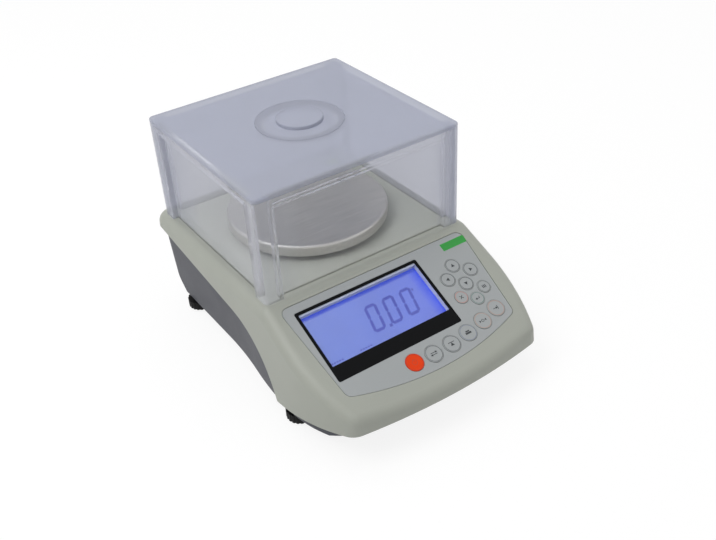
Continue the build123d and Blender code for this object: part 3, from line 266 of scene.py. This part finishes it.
def set_on_panel(piece, across, down, height):
    """Lays a piece made flat at the origin on the panel, its place in its mesh; millimetres."""
    piece.rotation_euler = (PANEL_SLOPE, 0, 0)
    piece.location = (
        across / 1000,
        PANEL_TOP_Y - down / 1000 * cos(PANEL_SLOPE) - height / 1000 * sin(PANEL_SLOPE),
        PANEL_TOP_Z - down / 1000 * sin(PANEL_SLOPE) + height / 1000 * cos(PANEL_SLOPE),
    )
    bpy.ops.object.select_all(action="DESELECT")
    piece.select_set(True)
    bpy.context.view_layer.objects.active = piece
    bpy.ops.object.transform_apply(location=True, rotation=True, scale=True)


def panel_fall(tree, place, low, high):
    """0 to 1 down the panel between two distances from its top, in millimetres."""
    split = tree.nodes.new("ShaderNodeSeparateXYZ")
    tree.links.new(place, split.inputs["Vector"])
    fall = tree.nodes.new("ShaderNodeMapRange")
    fall.inputs["From Min"].default_value = PANEL_TOP_Y - low / 1000 * cos(PANEL_SLOPE)
    fall.inputs["From Max"].default_value = PANEL_TOP_Y - high / 1000 * cos(PANEL_SLOPE)
    tree.links.new(split.outputs["Y"], fall.inputs["Value"])
    return fall.outputs["Result"]


def panel_side(tree, place, low, high):
    """0 to 1 across the panel between two distances from its middle, in millimetres."""
    split = tree.nodes.new("ShaderNodeSeparateXYZ")
    tree.links.new(place, split.inputs["Vector"])
    side = tree.nodes.new("ShaderNodeMapRange")
    side.inputs["From Min"].default_value = low / 1000
    side.inputs["From Max"].default_value = high / 1000
    tree.links.new(split.outputs["X"], side.inputs["Value"])
    return side.outputs["Result"]


def lit_glass():
    """Blue glass lit from below: even in the middle, deeper along the top, vivid along the right."""
    material, tree, shader, place = new_finish("lit_display_glass")
    across = tree.nodes.new("ShaderNodeValToRGB")
    across.color_ramp.elements[0].position = 0.0
    across.color_ramp.elements[0].color = screen_colour(128, 146, 218)
    across.color_ramp.elements[1].position = 1.0
    across.color_ramp.elements[1].color = screen_colour(62, 84, 250)
    middle = across.color_ramp.elements.new(0.55)
    middle.color = screen_colour(126, 142, 222)
    side = across.color_ramp.elements.new(0.90)
    side.color = screen_colour(120, 134, 228)
    tree.links.new(panel_side(tree, place, GLASS_LEFT, GLASS_RIGHT), across.inputs["Fac"])
    band = tree.nodes.new("ShaderNodeValToRGB")
    band.color_ramp.elements[0].position = 0.0
    band.color_ramp.elements[0].color = (1, 1, 1, 1)
    band.color_ramp.elements[1].position = HEAD_SHADE
    band.color_ramp.elements[1].color = (0, 0, 0, 1)
    tree.links.new(panel_fall(tree, place, GLASS_HEAD, GLASS_FOOT), band.inputs["Fac"])
    blend = tree.nodes.new("ShaderNodeMix")
    blend.data_type = "RGBA"
    tree.links.new(band.outputs["Color"], blend.inputs["Factor"])
    tree.links.new(across.outputs["Color"], blend.inputs["A"])
    blend.inputs["B"].default_value = screen_colour(66, 84, 214)
    tree.links.new(blend.outputs["Result"], shader.inputs["Emission Color"])
    shader.inputs["Emission Strength"].default_value = 0.67
    dark, light = screen_colour(40, 50, 96), screen_colour(44, 56, 104)
    tree.links.new(two_tone(tree, mottle(tree, place, 40.0), dark, light), shader.inputs["Base Color"])
    shader.inputs["Roughness"].default_value = 0.2
    return material


def clear_window():
    """Clear hard-coated sheet with the faintest haze."""
    material, tree, shader, place = new_finish("clear_window")
    shader.inputs["Transmission Weight"].default_value = 1.0
    shader.inputs["IOR"].default_value = 1.05
    whitening = two_tone(tree, mottle(tree, place, 30.0), (0.94, 0.95, 0.96, 1), (0.97, 0.98, 0.98, 1))
    tree.links.new(whitening, shader.inputs["Base Color"])
    tree.links.new(between(tree, mottle(tree, place, 120.0), 0.01, 0.04), shader.inputs["Roughness"])
    return material


frame_tone = screen_colour(168, 174, 194)
white_plastic = moulded_plastic("white_frame_plastic", frame_tone, 0.55, 1800.0, 0.00001, 0.01)
light_guide = moulded_plastic("light_guide", screen_colour(214, 222, 240), 0.35, 3000.0, 0.000006)
bezel_black = moulded_plastic("bezel_black", screen_colour(6, 7, 9), 0.45, 2600.0, 0.000006)
bezel_black.node_tree.nodes["Principled BSDF"].inputs["Specular IOR Level"].default_value = 0.08
dress(white_plastic, "display_frame")
dress(lit_glass(), "display_glass")
dress(light_guide, "backlight")
dress(bezel_black, "display_bezel")
dress(clear_window(), "display_window")

# Digits
# The energised segments of the display glass, reading zero with two decimals, and a row of small marks
# under them. They lie on the glass a few millimetres below the window.
DIGIT_SLANT = radians(10.5)
DIGIT_PITCH = 15.9
FIRST_DIGIT = -20.6
DIGIT_ROW = 40.6
MARK_ROW = 58.6
GLASS_TOP = -5.2
SHEET_THICKNESS = 0.00004


def flat_sheet(width, depth):
    """A flat rectangle at the origin, open for edits with all of it chosen; millimetres."""
    bpy.ops.object.select_all(action="DESELECT")
    bpy.ops.mesh.primitive_plane_add(size=1.0)
    sheet = bpy.context.object
    sheet.dimensions = (width / 1000, depth / 1000, 0)
    bpy.ops.object.transform_apply(scale=True)
    bpy.ops.object.mode_set(mode="EDIT")
    bpy.ops.mesh.select_all(action="SELECT")
    return sheet


def thicken(thickness):
    """Gives the flat piece that is open for edits a thickness and faces that look outward."""
    bpy.ops.mesh.select_all(action="SELECT")
    bpy.ops.mesh.extrude_region_move(TRANSFORM_OT_translate={"value": (0, 0, thickness)})
    bpy.ops.mesh.select_all(action="SELECT")
    bpy.ops.mesh.normals_make_consistent(inside=False)
    bpy.ops.object.mode_set(mode="OBJECT")


def segment_bar(length, width, across, down, turn, point=0.40):
    """One segment, a flat bar with cut corners that leans; millimetres from the digit's middle."""
    segment = flat_sheet(length, width)
    bpy.ops.mesh.bevel(offset=width / 1000 * point, affect="VERTICES")
    thicken(SHEET_THICKNESS)
    for vertex in segment.data.vertices:
        x, y = vertex.co.x, vertex.co.y
        vertex.co.x = x * cos(turn) - y * sin(turn) + across / 1000
        vertex.co.y = x * sin(turn) + y * cos(turn) - down / 1000
        vertex.co.x += vertex.co.y * sin(DIGIT_SLANT) / cos(DIGIT_SLANT)
    return segment


def join(pieces, name):
    """Joins pieces into one with its own name."""
    bpy.ops.object.select_all(action="DESELECT")
    for piece in pieces:
        piece.select_set(True)
    bpy.context.view_layer.objects.active = pieces[0]
    if len(pieces) > 1:
        bpy.ops.object.join()
    pieces[0].name = name
    pieces[0].data.name = name
    return pieces[0]


def zero_digit(middle_x, middle_u, name):
    """A zero made of six segments."""
    half_w, half_h, stroke = 4.2, 10.2, 2.4
    bars = []
    for side in (-1, 1):
        for end in (-1, 1):
            bars.append(segment_bar(half_h - 0.1, stroke, side * half_w, end * half_h / 2, pi / 2))
        bars.append(segment_bar(2 * half_w - 0.2, stroke, 0, side * half_h, 0))
    digit = join(bars, name)
    set_on_panel(digit, middle_x, middle_u, GLASS_TOP)
    return digit


def segment_ink():
    """Darker blue of an energised segment."""
    material, tree, shader, place = new_finish("display_segments")
    dark, light = screen_colour(76, 86, 190), screen_colour(82, 92, 196)
    ink = two_tone(tree, mottle(tree, place, 300.0), dark, light)
    tree.links.new(ink, shader.inputs["Emission Color"])
    shader.inputs["Emission Strength"].default_value = 0.58
    shader.inputs["Base Color"].default_value = screen_colour(38, 44, 90)
    shader.inputs["Roughness"].default_value = 0.3
    return material


display_ink = segment_ink()
digits = []
for index, name in enumerate(("digit_units", "digit_tenths", "digit_hundredths")):
    digits.append(zero_digit(FIRST_DIGIT + index * DIGIT_PITCH, DIGIT_ROW, name))
point = segment_bar(2.6, 2.4, 0, 0, 0, 0.1)
set_on_panel(point, -13.2, 51.4, GLASS_TOP)
point.name = "decimal_point"
stable_mark = segment_bar(1.5, 2.2, 0, 0, 0, 0.15)
set_on_panel(stable_mark, 19.4, 33.0, GLASS_TOP)
stable_mark.name = "stable_mark"
rows = []
for name, left in (("left_marks", -70.0), ("middle_marks", -45.0)):
    row = join([segment_bar(1.5, 1.1, index * 2.2, 0, 0, 0.1) for index in range(5)], name)
    set_on_panel(row, left, MARK_ROW, GLASS_TOP)
    rows.append(row)
for piece in (*digits, point, stable_mark, *rows):
    piece.data.materials.clear()
    piece.data.materials.append(display_ink)
    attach(piece, "housing")

# Keypad overlay
# A matt polyester sheet bonded into the recess of the panel, pale blue-grey, printed from behind, with a
# small green field in its upper right corner.
OVERLAY_TOP = -0.2
overlay_tone = screen_colour(162, 166, 167)
overlay_film = moulded_plastic("overlay_film", overlay_tone, 0.40, 3200.0, 0.000012, 0.012)
dress(overlay_film, "keypad_overlay")
dress(machined_metal("dome_steel", screen_colour(200, 198, 190), 0.25, (1, 1, 1)), "snap_domes")

green_field = flat_sheet(23.4, 6.6)
green_field.name = "green_field"
bpy.ops.mesh.bevel(offset=0.0006, segments=4, affect="VERTICES")
thicken(SHEET_THICKNESS)
set_on_panel(green_field, 72.1, 14.2, OVERLAY_TOP)
green_print = moulded_plastic("green_print", screen_colour(32, 150, 52), 0.38, 3000.0, 0.000006)
green_field.data.materials.append(green_print)
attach(green_field, "housing")

# Keys
# Thirteen round moulded caps, each on a stem that presses a snap dome on the front board. The power
# key is orange; the rest match the overlay. Each carries a printed ring and symbol.
LARGE, MIDDLE, SMALL = 14.0, 12.0, 11.0
KEY_PLACES = {
    "power_key": (-18.4, 86.9, LARGE), "mode_key": (-1.4, 87.6, LARGE), "unit_key": (15.6, 87.1, LARGE),
    "print_key": (32.5, 85.3, LARGE), "zero_key": (49.2, 82.2, LARGE), "tare_key": (65.6, 78.0, LARGE),
    "up_key": (58.1, 31.5, MIDDLE), "left_key": (46.9, 40.5, MIDDLE),
    "right_key": (69.3, 40.5, MIDDLE), "down_key": (58.1, 49.5, MIDDLE),
    "clear_key": (46.9, 58.1, SMALL), "count_key": (69.3, 58.1, SMALL), "enter_key": (58.1, 64.4, SMALL),
}
KEY_TOP = 0.2
PRINT_THICKNESS = 0.00003
RING_INSET = 0.45
RING_LINE = 0.5


def key_plastic(name, colour):
    """Satin cap plastic with a faint drift of tone."""
    material, tree, shader, place = new_finish(name)
    dark = tuple(c * 0.97 for c in colour[:3]) + (1.0,)
    tone = two_tone(tree, mottle(tree, place, 60.0), dark, colour)
    tree.links.new(tone, shader.inputs["Base Color"])
    tree.links.new(between(tree, mottle(tree, place, 150.0), 0.36, 0.46), shader.inputs["Roughness"])
    relief(tree, shader, mottle(tree, place, 3200.0, 2.0), 0.000012)
    return material


key_grey = key_plastic("key_grey", screen_colour(163, 167, 168))
key_orange = key_plastic("key_orange", screen_colour(232, 64, 6))
key_orange.node_tree.nodes["Principled BSDF"].inputs["Specular IOR Level"].default_value = 0.2
dress(key_orange, "power_key")
dress(key_grey, *[name for name in KEY_PLACES if name != "power_key"])


def print_ring(outer, width):
    """Thin printed ring, flat at the origin; millimetres."""
    bpy.ops.object.select_all(action="DESELECT")
    bpy.ops.mesh.primitive_circle_add(vertices=48, radius=outer / 1000, fill_type="NGON")
    ring = bpy.context.object
    bpy.ops.object.mode_set(mode="EDIT")
    bpy.ops.mesh.select_all(action="SELECT")
    bpy.ops.mesh.inset(thickness=width / 1000)
    bpy.ops.mesh.delete(type="FACE")
    thicken(PRINT_THICKNESS)
    return ring


def print_shape(corners):
    """Flat printed shape from its corners in millimetres, a primitive reshaped vertex by vertex."""
    bpy.ops.object.select_all(action="DESELECT")
    bpy.ops.mesh.primitive_circle_add(vertices=len(corners), radius=0.001, fill_type="NGON")
    shape = bpy.context.object
    for vertex, (x, y) in zip(shape.data.vertices, corners):
        vertex.co.x = x / 1000
        vertex.co.y = y / 1000
    bpy.ops.object.mode_set(mode="EDIT")
    thicken(PRINT_THICKNESS)
    return shape


def turned(corners, turn):
    """Corners turned about the origin."""
    return [(x * cos(turn) - y * sin(turn), x * sin(turn) + y * cos(turn)) for x, y in corners]


def moved(corners, across, up):
    """Corners moved across and up."""
    return [(x + across, y + up) for x, y in corners]


def bar(x0, y0, x1, y1):
    """Corners of a straight bar."""
    return [(x0, y0), (x1, y0), (x1, y1), (x0, y1)]


QUARTER = pi / 2
ARROW_HEAD = [(0.0, 1.7), (-1.6, -1.1), (1.6, -1.1)]
SMALL_HEAD = [(0.0, 1.1), (-1.0, -0.6), (1.0, -0.6)]
LEFT_HEAD = turned(SMALL_HEAD, QUARTER)
RIGHT_HEAD = turned(SMALL_HEAD, -QUARTER)
STROKE = bar(-1.9, -0.25, 1.9, 0.25)
SYMBOLS = {
    "up_key": [ARROW_HEAD],
    "down_key": [turned(ARROW_HEAD, pi)],
    "left_key": [turned(ARROW_HEAD, QUARTER)],
    "right_key": [turned(ARROW_HEAD, -QUARTER)],
    "mode_key": [moved(RIGHT_HEAD, 2.2, 0.8), bar(-2.6, 0.55, 1.8, 1.05),
                 moved(LEFT_HEAD, -2.2, -0.8), bar(-1.8, -1.05, 2.6, -0.55)],
    "unit_key": [bar(-2.8, 0.9, 2.8, 1.4), moved(ARROW_HEAD, 0, -0.6)],
    "print_key": [bar(-2.6, -1.2, 2.6, 0.3), bar(-1.7, 0.6, 1.7, 1.7)],
    "zero_key": [moved(RIGHT_HEAD, -2.6, 0), moved(LEFT_HEAD, 2.6, 0)],
    "tare_key": [bar(1.3, -1.8, 1.8, 1.8), moved(RIGHT_HEAD, 0.5, 0), bar(-2.6, -0.25, 0.2, 0.25)],
    "clear_key": [turned(STROKE, pi / 4), turned(STROKE, -pi / 4)],
    "count_key": [bar(-1.6, -1.3, -0.9, 1.3), bar(-0.35, -1.3, 0.35, 1.3), bar(0.9, -1.3, 1.6, 1.3)],
    "enter_key": [moved(LEFT_HEAD, -1.3, -0.4), bar(-0.9, -0.65, 1.8, -0.15), bar(1.3, -0.65, 1.8, 1.3)],
    "power_key": [bar(-0.3, 0.5, 0.3, 2.6)],
}


def print_ink(name, colour):
    """Matt printing ink."""
    return moulded_plastic(name, colour, 0.5, 3000.0, 0.000004, 0.03)


RING_COLOURS = {
    "mode_key": (104, 108, 110), "unit_key": (104, 108, 110), "print_key": (126, 134, 150),
    "zero_key": (176, 150, 138), "tare_key": (176, 146, 134), "up_key": (96, 100, 102),
    "left_key": (96, 100, 102), "right_key": (96, 100, 102), "down_key": (84, 88, 90),
    "clear_key": (186, 136, 128), "count_key": (112, 118, 116), "enter_key": (108, 132, 126),
    "power_key": (204, 50, 10),
}
dark_ink = print_ink("dark_ink", screen_colour(44, 48, 52))
power_ink = print_ink("power_ink", screen_colour(206, 60, 14))
for key, (across, down, diameter) in KEY_PLACES.items():
    outline = print_ring(diameter / 2 - RING_INSET, RING_LINE)
    outline.name = key.replace("_key", "_ring")
    set_on_panel(outline, across, down, KEY_TOP)
    ring_ink = print_ink(f"{outline.name}_ink", screen_colour(*RING_COLOURS[key]))
    outline.data.materials.append(ring_ink)
    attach(outline, key)
    shapes = [print_shape(corners) for corners in SYMBOLS[key]]
    if key == "power_key":
        shapes.append(print_ring(2.3, RING_LINE))
    if key == "zero_key":
        shapes.append(print_ring(1.2, 0.4))
    symbol = join(shapes, key.replace("_key", "_symbol"))
    set_on_panel(symbol, across, down, KEY_TOP)
    symbol.data.materials.clear()
    symbol.data.materials.append(power_ink if key == "power_key" else dark_ink)
    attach(symbol, key)

# Pan
# A brushed stainless dish with a rolled edge, open side down, on four rubber cushions. The cushions
# sit in a cast cross on a turned post, which passes down through the collar in the cover.
def brushed_dish():
    """Stainless steel brushed in one direction, with cloudy reflections."""
    material, tree, shader, place = new_finish("brushed_dish_steel")
    shader.inputs["Metallic"].default_value = 1.0
    fine = mottle(tree, place, 1500.0, 5.0, (0.02, 1, 1))
    dark, light = screen_colour(184, 182, 178), screen_colour(208, 206, 200)
    tree.links.new(two_tone(tree, fine, dark, light), shader.inputs["Base Color"])
    tree.links.new(between(tree, fine, 0.36, 0.52), shader.inputs["Roughness"])
    relief(tree, shader, fine, 0.000006)
    return material


dress(brushed_dish(), "weighing_pan")
dress(black_rubber, "pan_cushions")
cast_cross = machined_metal("cast_cross", screen_colour(164, 166, 168), 0.48, (1, 1, 1), 0.00003)
dress(cast_cross, "pan_support")
post_steel = machined_metal("turned_post_steel", screen_colour(186, 187, 188), 0.26, (1, 1, 12))
dress(post_steel, "pan_post")

# Spirit level
# A green liquid capsule in a black flanged cup at the rear right corner of the platform, with a bubble
# under its clear dome and a printed ring to centre it in.
dress(moulded_plastic("level_cup_plastic", screen_colour(30, 31, 33), 0.4), "level_case")


def level_liquid():
    """Yellow-green liquid behind clear acrylic."""
    material, tree, shader, place = new_finish("level_liquid")
    dark, light = screen_colour(178, 214, 70), screen_colour(190, 224, 88)
    tint = two_tone(tree, mottle(tree, place, 90.0), dark, light)
    tree.links.new(tint, shader.inputs["Base Color"])
    shader.inputs["Roughness"].default_value = 0.08
    shader.inputs["Transmission Weight"].default_value = 0.35
    return material


dress(level_liquid(), "level_vial")
low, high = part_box("level_vial")
level_x, level_y, level_z = (low.x + high.x) / 2, (low.y + high.y) / 2, high.z
ring = print_ring(2.9, 0.25)
ring.location = (level_x, level_y, level_z)
bpy.ops.object.transform_apply(location=True)
ring.name = "level_ring"
ring.data.materials.append(dark_ink)
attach(ring, "housing")

# Draft shield and lid
# A clear acrylic box, moulded in one piece with thick corner posts and a band under its roof. A
# round lid with a raised hollow grip drops into the seat in the roof.
# How strongly each part of the shield carries the painted reflection.
ROOF_GLARE = 0.50
REAR_GLARE = 0.30
LEFT_GLARE = 0.13
RIGHT_GLARE = 0.32
POST_GLARE = 0.17
POST_WIDTH = 0.015


def rise(tree, source, start, end, amount):
    """A value that rises from 0 to an amount as another goes from start to end."""
    spread = tree.nodes.new("ShaderNodeMapRange")
    spread.inputs["From Min"].default_value = start
    spread.inputs["From Max"].default_value = end
    spread.inputs["To Max"].default_value = amount
    tree.links.new(source, spread.inputs["Value"])
    return spread.outputs["Result"]


def combined(tree, operation, first, second=None):
    """Arithmetic on one or two values."""
    step = tree.nodes.new("ShaderNodeMath")
    step.operation = operation
    tree.links.new(first, step.inputs[0])
    if second:
        tree.links.new(second, step.inputs[1])
    return step.outputs["Value"]


def clear_acrylic():
    """Acrylic with a polished front; its roof, its posts and its other walls carry a painted reflection,
    a cool milky tone that stands in for the bright studio mirrored in them.
    """
    material, tree, shader, place = new_finish("clear_acrylic")
    low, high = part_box("draft_shield")
    split = tree.nodes.new("ShaderNodeSeparateXYZ")
    tree.links.new(place, split.inputs["Vector"])
    across, along, up = split.outputs["X"], split.outputs["Y"], split.outputs["Z"]
    # Painted reflection: each part is painted milky and less clear, most in the roof, then the right and
    # rear walls, the posts and the left wall; the front stays clear.
    roof = rise(tree, up, high.z - 0.0042, high.z - 0.0032, ROOF_GLARE)
    rear = rise(tree, along, 0.03, high.y, REAR_GLARE)
    left = rise(tree, across, -0.05, low.x, LEFT_GLARE)
    right = rise(tree, across, 0.07, high.x - 0.004, RIGHT_GLARE)
    out = combined(tree, "ABSOLUTE", across)
    side = rise(tree, out, high.x - POST_WIDTH - 0.001, high.x - POST_WIDTH + 0.001, 1.0)
    out = combined(tree, "ABSOLUTE", along)
    end = rise(tree, out, high.y - POST_WIDTH - 0.001, high.y - POST_WIDTH + 0.001, POST_GLARE)
    whitening = combined(tree, "MAXIMUM", roof, rear)
    whitening = combined(tree, "MAXIMUM", whitening, combined(tree, "MAXIMUM", left, right))
    whitening = combined(tree, "MAXIMUM", whitening, combined(tree, "MULTIPLY", side, end))
    drift = between(tree, mottle(tree, place, 20.0), 0.97, 1.03)
    whitening = combined(tree, "MULTIPLY", whitening, drift)
    tree.links.new(between(tree, whitening, 0.95, 0.0), shader.inputs["Transmission Weight"])
    clear, glare_tint = screen_colour(243, 243, 244), screen_colour(189, 192, 204)
    tree.links.new(two_tone(tree, whitening, clear, glare_tint, 0.0, 0.4), shader.inputs["Base Color"])
    shader.inputs["IOR"].default_value = 1.06
    tree.links.new(between(tree, mottle(tree, place, 70.0), 0.02, 0.06), shader.inputs["Roughness"])
    return material


acrylic = clear_acrylic()
dress(acrylic, "draft_shield", "shield_lid")
for node in ("draft_shield", "shield_lid", "display_window"):
    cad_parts[node].visible_shadow = False

# Studio
# A pale floor, a white surround and three soft lamps. The floor and the surround read white to the
# camera and in glass and metal, and the floor keeps the shadow.
FLOOR_GLOW = 1.05
FLOOR_GLOW_SHARE = 0.82
SURROUND_LIGHT = 0.44

bpy.ops.object.select_all(action="DESELECT")
bpy.ops.mesh.primitive_plane_add(size=8.0, location=(0, 0, 0))
floor = bpy.context.object
floor.name = "studio_floor"


def seen_ray(tree):
    """1 for rays from the camera, from gloss and through glass, else 0."""
    path = tree.nodes.new("ShaderNodeLightPath")
    first = tree.nodes.new("ShaderNodeMath")
    first.operation = "MAXIMUM"
    tree.links.new(path.outputs["Is Camera Ray"], first.inputs[0])
    tree.links.new(path.outputs["Is Glossy Ray"], first.inputs[1])
    second = tree.nodes.new("ShaderNodeMath")
    second.operation = "MAXIMUM"
    tree.links.new(first.outputs["Value"], second.inputs[0])
    tree.links.new(path.outputs["Is Transmission Ray"], second.inputs[1])
    return second.outputs["Value"]


floor_white = bpy.data.materials.new("studio_white")
floor_white.use_nodes = True
tree = floor_white.node_tree
matt = tree.nodes["Principled BSDF"]
matt.inputs["Base Color"].default_value = (0.86, 0.86, 0.86, 1)
matt.inputs["Roughness"].default_value = 0.9
glow = tree.nodes.new("ShaderNodeEmission")
glow.inputs["Strength"].default_value = FLOOR_GLOW
share = tree.nodes.new("ShaderNodeMath")
share.operation = "MULTIPLY"
share.inputs[1].default_value = FLOOR_GLOW_SHARE
tree.links.new(seen_ray(tree), share.inputs[0])
mix = tree.nodes.new("ShaderNodeMixShader")
tree.links.new(share.outputs["Value"], mix.inputs["Fac"])
tree.links.new(matt.outputs["BSDF"], mix.inputs[1])
tree.links.new(glow.outputs["Emission"], mix.inputs[2])
tree.links.new(mix.outputs["Shader"], tree.nodes["Material Output"].inputs["Surface"])
floor.data.materials.append(floor_white)

world = bpy.data.worlds.new("studio_world")
bpy.context.scene.world = world
world.use_nodes = True
tree = world.node_tree
level = tree.nodes.new("ShaderNodeMapRange")
level.inputs["To Min"].default_value = SURROUND_LIGHT
level.inputs["To Max"].default_value = 1.0
tree.links.new(seen_ray(tree), level.inputs["Value"])
tree.nodes["Background"].inputs["Color"].default_value = (1, 1, 1, 1)
tree.links.new(level.outputs["Result"], tree.nodes["Background"].inputs["Strength"])


def soft_lamp(name, place, aim, size, power):
    """Square soft lamp that faces a point."""
    bpy.ops.object.light_add(type="AREA", location=place)
    lamp = bpy.context.object
    lamp.name = name
    lamp.data.shape = "SQUARE"
    lamp.data.size = size
    lamp.data.energy = power
    dx, dy, dz = (aim[i] - place[i] for i in range(3))
    flat = (dx * dx + dy * dy) ** 0.5
    lamp.rotation_euler = (atan2(flat, -dz), 0, atan2(dy, dx) - pi / 2)
    return lamp


soft_lamp("key_lamp", (-1.0, 0.1, 1.5), (0, 0, 0.05), 1.0, 12.5)
soft_lamp("fill_lamp", (1.2, -0.7, 1.0), (0, 0, 0.05), 1.2, 2.0)
soft_lamp("top_lamp", (0.1, 0.6, 1.7), (0, 0, 0.1), 1.4, 7.0)

bpy.context.scene.view_settings.view_transform = "Standard"
